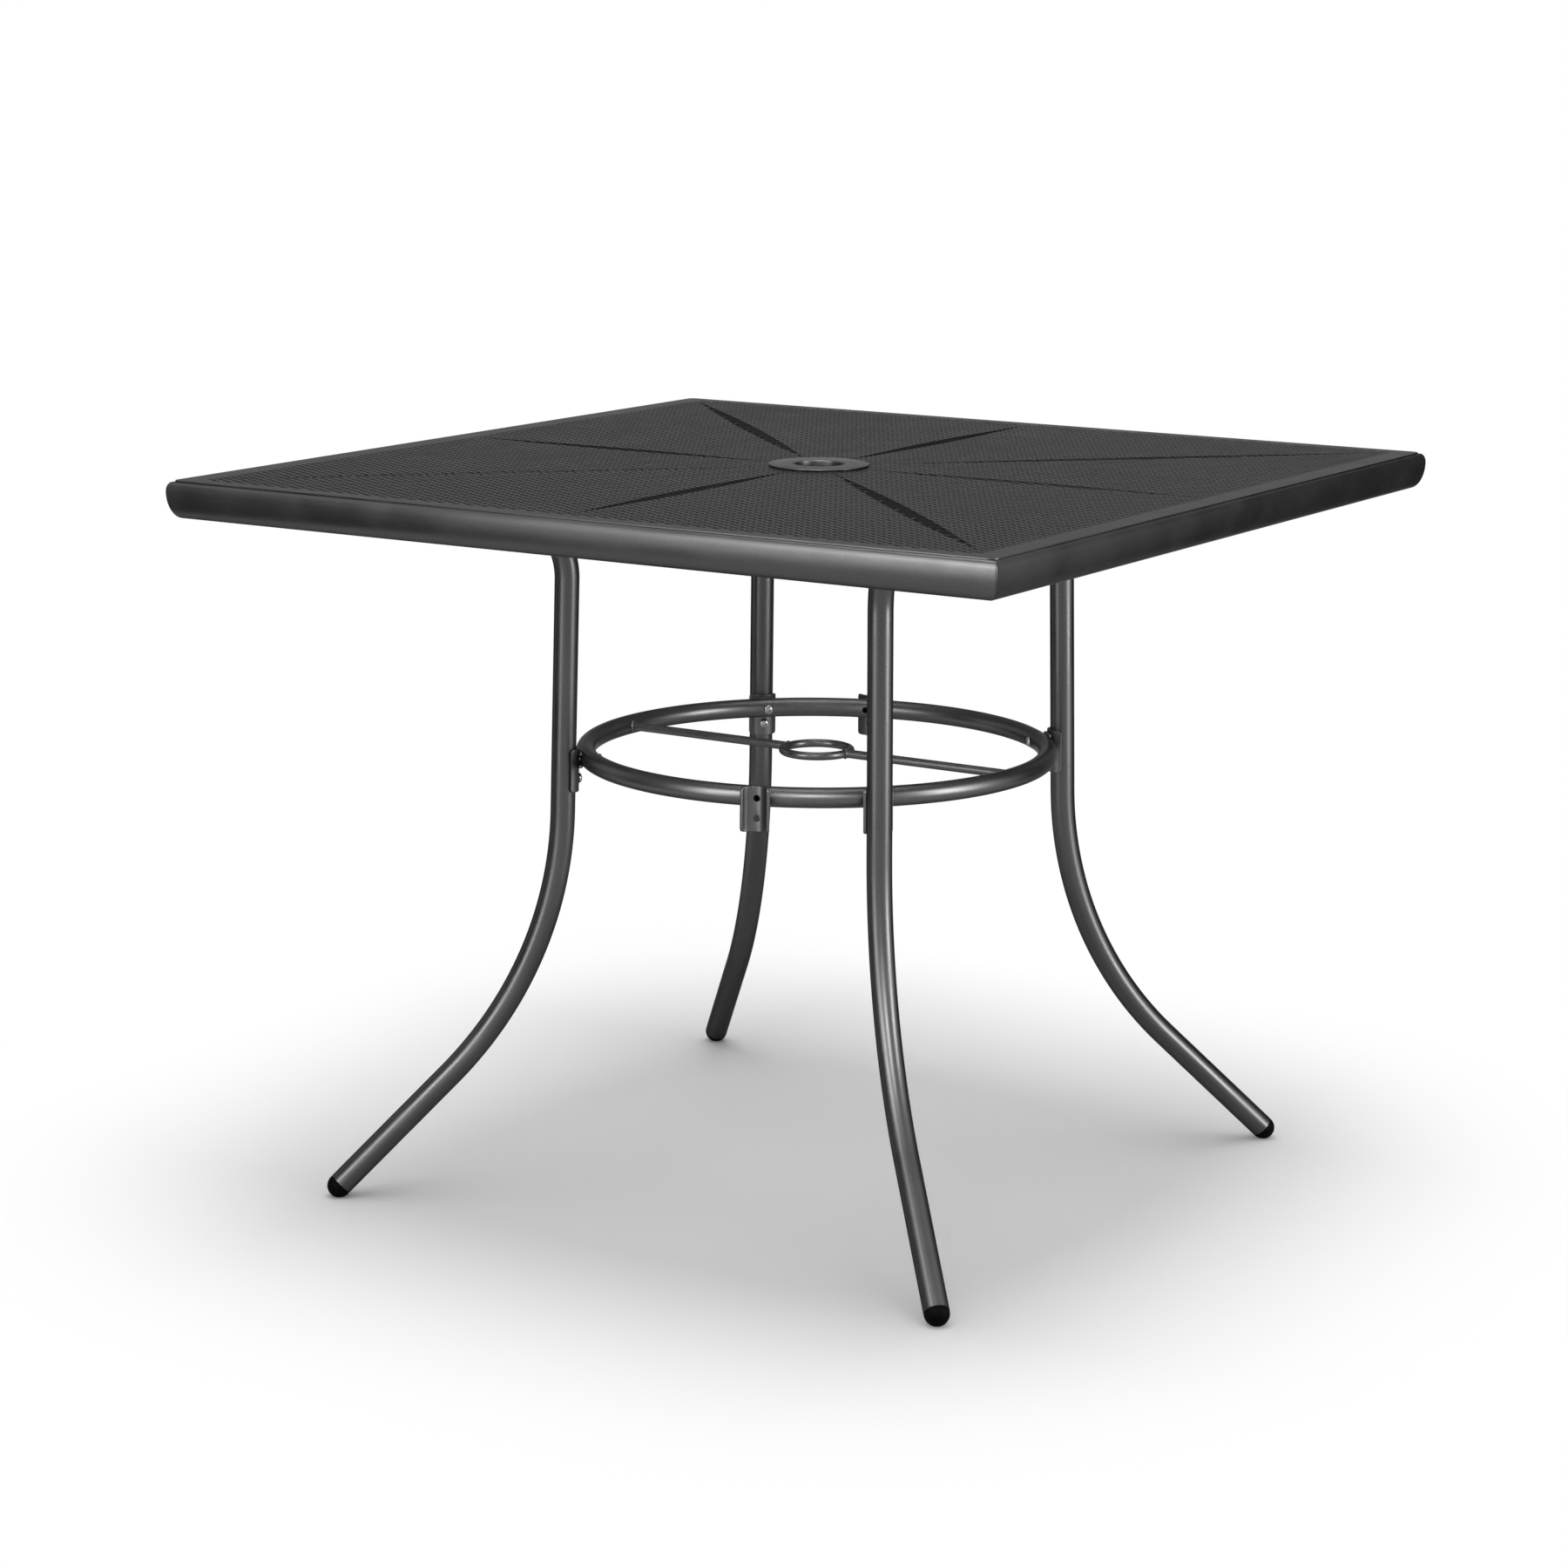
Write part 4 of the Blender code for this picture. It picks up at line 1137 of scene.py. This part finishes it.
class GARDENTABLE_OT_saddles(bpy.types.Operator):
    """Add the six saddle plates that are welded to the ring"""

    bl_idname = "garden_table.saddles"
    bl_label = "Saddle Plates"

    def execute(self, context):
        """Cut the plate flat, bend it round the leg's line, and weld it to the ring."""
        sizes = context.scene.garden_table_ring
        inner, outer = saddle_radii()
        neutral = (inner + outer) / 2
        half_arc = neutral * sizes.saddle_half_angle
        outline = rounded_outline(
            -half_arc, half_arc, -sizes.saddle_below, sizes.saddle_above, sizes.saddle_corner)
        loops = [outline]
        for height in (0.0, -sizes.hole_drop):
            radius = sizes.hole_radius
            loops.append(arc((0.0, height), radius, radius, 0.0, math.tau * 23 / 24, 23))
        mesh = plate_curve_mesh("ring_saddle", loops, sizes.saddle_thickness, saddle_rounding)
        plate = bmesh.new()
        plate.from_mesh(mesh)
        bmesh.ops.remove_doubles(plate, verts=plate.verts, dist=merge_distance)
        for index in range(1 - saddle_bends, saddle_bends):
            split_plane(plate, (half_arc * index / saddle_bends, 0.0, 0.0), (1.0, 0.0, 0.0))
        for vertex in plate.verts:
            angle = vertex.co.x / neutral
            height = vertex.co.y
            radius = neutral + vertex.co.z
            vertex.co = on_circle(radius, angle, height)
        plate.to_mesh(mesh)
        plate.free()
        mesh.shade_smooth()
        mesh.set_sharp_from_angle(angle=math.radians(sharp_edge))
        beads = []
        for side in (1.0, -1.0):
            path = []
            for index in range(25):
                across = (index / 24 * 2 - 1) * saddle_weld_reach
                fall = outer - math.sqrt(outer ** 2 - across ** 2)
                lift = sizes.tube_radius * (0.72 - 0.1 * abs(across) / saddle_weld_reach)
                path.append(Vector((outer + 0.0012 - fall * 0.45, across, side * lift)))
            beads.append(weld_bead(path, sizes.weld_radius * 0.85))
        bead_shape = joined(beads)
        places = dict(corners)
        places.update({f"spare_{name}": angle for name, angle in spare_saddles.items()})
        for name, angle in places.items():
            matrix = bracket_frame(angle)
            bent = mesh.copy()
            bent.transform(matrix)
            # The saddle plates take the lighter copy of the paint: painted light
            add_piece(
                f"saddle_{name}", bent, "ring_painted_light_coat", [f"ring_saddle_{name}"])
            bead_mesh = shape_mesh("saddle_weld", placed(bead_shape, matrix))
            # The saddle welds take the lighter copy of the paint: painted highlight
            add_piece(f"saddle_weld_{name}", bead_mesh, "weld_painted_highlight_coat")
        return {"FINISHED"}


class GARDENTABLE_OT_bolts(bpy.types.Operator):
    """Add the button-head bolts of the ring and of the leg runs"""

    bl_idname = "garden_table.bolts"
    bl_label = "Bolts"

    def bolt_mesh(self, sizes, length):
        """Turn a bolt with its seat at height 0, and cut the hexagon socket."""
        head = arc((0.0, 0.0), sizes.head_radius, sizes.head_height, math.pi / 2, 0.12, 10)
        head.append((sizes.head_radius - 0.0001, 0.0))
        profile = head + [(sizes.shank_radius, 0.0), (sizes.shank_radius, -length), (0.0, -length)]
        bolt = shape_mesh("bolt", turned_shape(profile, 32))
        floor = Vector((0.0, 0.0, sizes.head_height - sizes.socket_depth))
        corner_radius = sizes.socket_width / math.sqrt(3)
        socket = swept_tube([floor, floor + Vector((0.0, 0.0, 0.01))], [corner_radius] * 2, 6)
        return cut_mesh(bolt, [shape_mesh("socket", socket)])

    def execute(self, context):
        """Put a bolt through each hole that holds a leg."""
        sizes = context.scene.garden_table_bolts
        leg = context.scene.garden_table_legs
        ring = context.scene.garden_table_ring
        rim = context.scene.garden_table_rim
        steel = "blackened_steel"
        wall_reach = leg.tube_radius - leg_wall - bolt_end_reach
        upper_seat = ring_seat() + ring.tube_radius + touch_gap
        lower_seat = saddle_radii()[1] + touch_gap
        upper = self.bolt_mesh(sizes, upper_seat - wall_reach)
        lower = self.bolt_mesh(sizes, lower_seat - wall_reach)
        run_seat = leg.run_height - leg.tube_radius - touch_gap
        run_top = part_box("leg_bolt_front_left_1")[1].z
        run = self.bolt_mesh(sizes, run_top - run_seat)
        head_down = Matrix.Rotation(math.pi, 4, "X")
        diagonal = rim.half_width * math.sqrt(2)
        ring_bolts = (("upper", upper, 0.0, upper_seat), ("lower", lower, ring.hole_drop, lower_seat))
        for index, (corner, angle) in enumerate(corners.items()):
            inward = bracket_frame(angle) @ Matrix.Rotation(math.pi / 2, 4, "Y")
            twist = Matrix.Rotation(0.4 + 1.1 * index, 4, "Z")
            for part, mesh, drop, seat in ring_bolts:
                place = inward @ Matrix.Translation((drop, 0.0, seat)) @ twist
                add_piece(
                    f"bolt_{corner}_{part}", mesh, steel, [f"ring_bolt_{corner}_{part}"], place)
            for number, setback in enumerate((sizes.setback_outer, sizes.setback_inner), 1):
                up = around(angle) @ Matrix.Translation((diagonal - setback, 0.0, run_seat))
                add_piece(f"run_bolt_{corner}_{number}", run, steel,
                          [f"leg_bolt_{corner}_{number}"], up @ head_down @ twist)
        return {"FINISHED"}


class GARDENTABLE_OT_fittings(bpy.types.Operator):
    """Give the gussets, weld nuts and tube plugs their finishes and softened edges"""

    bl_idname = "garden_table.fittings"
    bl_label = "Hidden Fittings"

    def execute(self, context):
        """Finish the nodes of the frame that keep their own shape."""
        finishes = {
            "corner_gusset_": ("graphite_powder_coat", 0.0006),
            "weld_nut_": ("blackened_steel", 0.0004),
            "leg_plug_": ("moulded_plastic", 0.0004),
        }
        for name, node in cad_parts.items():
            for start, (finish, width) in finishes.items():
                if not name.startswith(start):
                    continue
                for slot in node.material_slots:
                    slot.material = find_material(finish)
                modifier = node.modifiers.new("Softened edges", "BEVEL")
                modifier.width = width
                modifier.segments = 2
                modifier.angle_limit = math.radians(40)
        return {"FINISHED"}


class GARDENTABLE_OT_studio(bpy.types.Operator):
    """Add the pale floor, the lamps, the dark cards, the world and the camera"""

    bl_idname = "garden_table.studio"
    bl_label = "Studio"

    def seen_rays(self, tree):
        """Give 1 for the rays that show the background: camera, glossy and transmission rays."""
        path = tree.nodes.new("ShaderNodeLightPath")
        seen = arithmetic(tree, "ADD", path.outputs["Is Camera Ray"], path.outputs["Is Glossy Ray"])
        seen = arithmetic(tree, "ADD", seen, path.outputs["Is Transmission Ray"])
        return arithmetic(tree, "MINIMUM", seen, 1.0)

    def add_world(self, studio):
        """White background, with a softer light from all around."""
        world = bpy.data.worlds.new("studio_world")
        bpy.context.scene.world = world
        world.use_nodes = True
        tree = world.node_tree
        background = tree.nodes["Background"]
        background.inputs["Color"].default_value = (1.0, 1.0, 1.0, 1.0)
        strength = stretched(tree, self.seen_rays(tree), 0.0, 1.0, studio.ambient, 1.0)
        tree.links.new(strength, background.inputs["Strength"])

    def add_floor(self, studio):
        """Wide round floor that turns into the white background away from the table."""
        shape = turned_shape([(studio.floor_radius, 0.0), (0.0, 0.0)], 96)
        mesh = bpy.data.meshes.new("floor")
        mesh.from_pydata([tuple(point) for point in shape[0]], [], shape[1])
        material = bpy.data.materials.new("studio_floor")
        material.use_nodes = True
        tree = material.node_tree
        shader = tree.nodes["Principled BSDF"]
        set_inputs(shader, {"Roughness": 0.9, "Specular IOR Level": 0.0})
        coordinates = node_coordinates(tree)
        mottle = noise(tree, coordinates, 3.0, 3.0)
        tone = blended(tree, mottle, toned(studio.floor_colour, 0.995), tuple(studio.floor_colour))
        tree.links.new(tone, shader.inputs["Base Color"])
        shifted = tree.nodes.new("ShaderNodeMapping")
        shifted.vector_type = "TEXTURE"
        set_inputs(shifted, {
            "Location": (-0.12, 0.10, 0.0), "Rotation": (0.0, 0.0, math.radians(32.0)),
            "Scale": (0.96, 1.14, 1.0)})
        tree.links.new(coordinates, shifted.inputs["Vector"])
        distance = tree.nodes.new("ShaderNodeVectorMath")
        distance.operation = "LENGTH"
        tree.links.new(shifted.outputs[0], distance.inputs[0])
        fade = stretched(
            tree, distance.outputs["Value"], studio.fade_start, studio.fade_end, 0.0, 1.0, "SMOOTHSTEP")
        factor = arithmetic(tree, "MULTIPLY", fade, self.seen_rays(tree))
        glow = tree.nodes.new("ShaderNodeEmission")
        mix = tree.nodes.new("ShaderNodeMixShader")
        tree.links.new(factor, mix.inputs[0])
        tree.links.new(shader.outputs["BSDF"], mix.inputs[1])
        tree.links.new(glow.outputs["Emission"], mix.inputs[2])
        tree.links.new(mix.outputs["Shader"], tree.nodes["Material Output"].inputs["Surface"])
        mesh.materials.append(material)
        floor = add_object("floor", mesh)

    def add_lamp(self, name, place, target, width, height, power, lights_floor):
        """Add one soft lamp that points at the table, and lights all of it or only its gloss."""
        light = bpy.data.lights.new(name, "AREA")
        light.shape = "RECTANGLE"
        light.size = width
        light.size_y = height
        light.energy = power
        lamp = add_object(name, light)
        facing = (Vector(target) - Vector(place)).to_track_quat("-Z", "Y").to_matrix().to_4x4()
        lamp.matrix_world = Matrix.Translation(place) @ facing
        lamp.visible_diffuse = lights_floor

    def add_flag(self, name, place, width, height):
        """Add one upright dark card that faces the table and shows only in its gloss."""
        points = [(-width / 2, 0.0, -height / 2), (width / 2, 0.0, -height / 2),
                  (width / 2, 0.0, height / 2), (-width / 2, 0.0, height / 2)]
        mesh = bpy.data.meshes.new(name)
        mesh.from_pydata(points, [], [(0, 1, 2, 3)])
        if "studio_flag" not in bpy.data.materials:
            material = bpy.data.materials.new("studio_flag")
            material.use_nodes = True
            shader = material.node_tree.nodes["Principled BSDF"]
            set_inputs(shader, {"Base Color": (0.004, 0.004, 0.004, 1.0), "Specular IOR Level": 0.0})
        mesh.materials.append(bpy.data.materials["studio_flag"])
        flag = add_object(name, mesh)
        facing = math.atan2(place[1], place[0]) - math.pi / 2
        flag.matrix_world = Matrix.Translation(place) @ Matrix.Rotation(facing, 4, "Z")
        flag.visible_camera = False
        flag.visible_diffuse = False
        flag.visible_shadow = False

    def add_camera(self):
        """Add the camera where the photograph was taken from."""
        data = bpy.data.cameras.new("camera")
        data.lens = camera_lens
        data.sensor_width = 36.0
        camera = add_object("camera", data)
        yaw = Matrix.Rotation(math.radians(camera_turn), 4, "Z")
        pitch = Matrix.Rotation(math.radians(90.0 - camera_dip), 4, "X")
        roll = Matrix.Rotation(math.radians(camera_roll), 4, "Z")
        camera.matrix_world = Matrix.Translation(camera_place) @ yaw @ pitch @ roll
        bpy.context.scene.camera = camera

    def execute(self, context):
        """Set up the whole studio."""
        studio = context.scene.garden_table_studio
        self.add_floor(studio)
        self.add_world(studio)
        lamps = (
            ("overhead_lamp", (0.0, 0.0, 3.1), (0.0, 0.0, 0.0), 1.8, 1.8, studio.overhead, True),
            ("front_lamp", (-0.80, -2.90, 0.90), (0.0, 0.0, 0.90), 1.1, 1.7, studio.front, False),
            ("upper_lamp", (-0.60, -2.85, 2.10), (0.0, -0.2, 0.6), 1.2, 1.6, studio.upper, False),
            ("high_lamp", (1.95, -3.40, 2.95), (0.0, 0.0, 0.4), 0.9, 1.9, studio.high, False),
            ("side_lamp", (2.99, 0.26, 1.15), (0.0, 0.0, 1.15), 0.8, 2.1, studio.side, False))
        for lamp in lamps:
            self.add_lamp(*lamp)
        flags = (
            ("left_flag", (-0.98, -1.00, 0.65), 1.1, 1.3),
            ("far_left_flag", (-1.70, 0.45, 0.25), 1.6, 0.5),
            ("right_flag", (0.80, 1.20, 0.70), 0.9, 1.4))
        for flag in flags:
            self.add_flag(*flag)
        self.add_camera()
        context.scene.view_settings.view_transform = "Standard"
        return {"FINISHED"}


class GARDENTABLE_PT_sidebar(bpy.types.Panel):
    """Sidebar panel with the table's pieces and sizes"""

    bl_idname = "GARDENTABLE_PT_sidebar"
    bl_label = "Garden Table"
    bl_space_type = "VIEW_3D"
    bl_region_type = "UI"
    bl_category = "Garden Table"

    def draw(self, context):
        """List the operators, and the sizes under them."""
        for operator in operators:
            self.layout.operator(operator.bl_idname)
        for name, group in groups.items():
            box = self.layout.box()
            box.label(text=group.__doc__.rstrip("."))
            for field in group.__annotations__:
                box.prop(getattr(context.scene, name), field)


operators = [
    GARDENTABLE_OT_top_sheet, GARDENTABLE_OT_rim, GARDENTABLE_OT_umbrella_hole,
    GARDENTABLE_OT_legs, GARDENTABLE_OT_stretcher, GARDENTABLE_OT_saddles,
    GARDENTABLE_OT_bolts, GARDENTABLE_OT_fittings, GARDENTABLE_OT_studio]

groups = {
    "garden_table_top": TopSheetSizes,
    "garden_table_rim": RimSizes,
    "garden_table_hub": HubSizes,
    "garden_table_legs": LegSizes,
    "garden_table_ring": RingSizes,
    "garden_table_bolts": BoltSizes,
    "garden_table_finishes": Finishes,
    "garden_table_studio": StudioLight,
}


def register():
    """Register the classes and put their properties on the scene."""
    for group in groups.values():
        bpy.utils.register_class(group)
    for name, group in groups.items():
        setattr(bpy.types.Scene, name, PointerProperty(type=group))
    for operator in operators:
        bpy.utils.register_class(operator)
    bpy.utils.register_class(GARDENTABLE_PT_sidebar)


def unregister():
    """Take the properties and the classes away again."""
    bpy.utils.unregister_class(GARDENTABLE_PT_sidebar)
    for operator in reversed(operators):
        bpy.utils.unregister_class(operator)
    for name in groups:
        delattr(bpy.types.Scene, name)
    for group in reversed(list(groups.values())):
        bpy.utils.unregister_class(group)


def main():
    """Build the whole table in its studio."""
    register()
    bpy.ops.garden_table.studio()
    bpy.ops.garden_table.top_sheet()
    bpy.ops.garden_table.rim()
    bpy.ops.garden_table.umbrella_hole()
    bpy.ops.garden_table.legs()
    bpy.ops.garden_table.stretcher()
    bpy.ops.garden_table.saddles()
    bpy.ops.garden_table.bolts()
    bpy.ops.garden_table.fittings()
    bpy.context.view_layer.update()


if __name__ == "__main__":
    main()
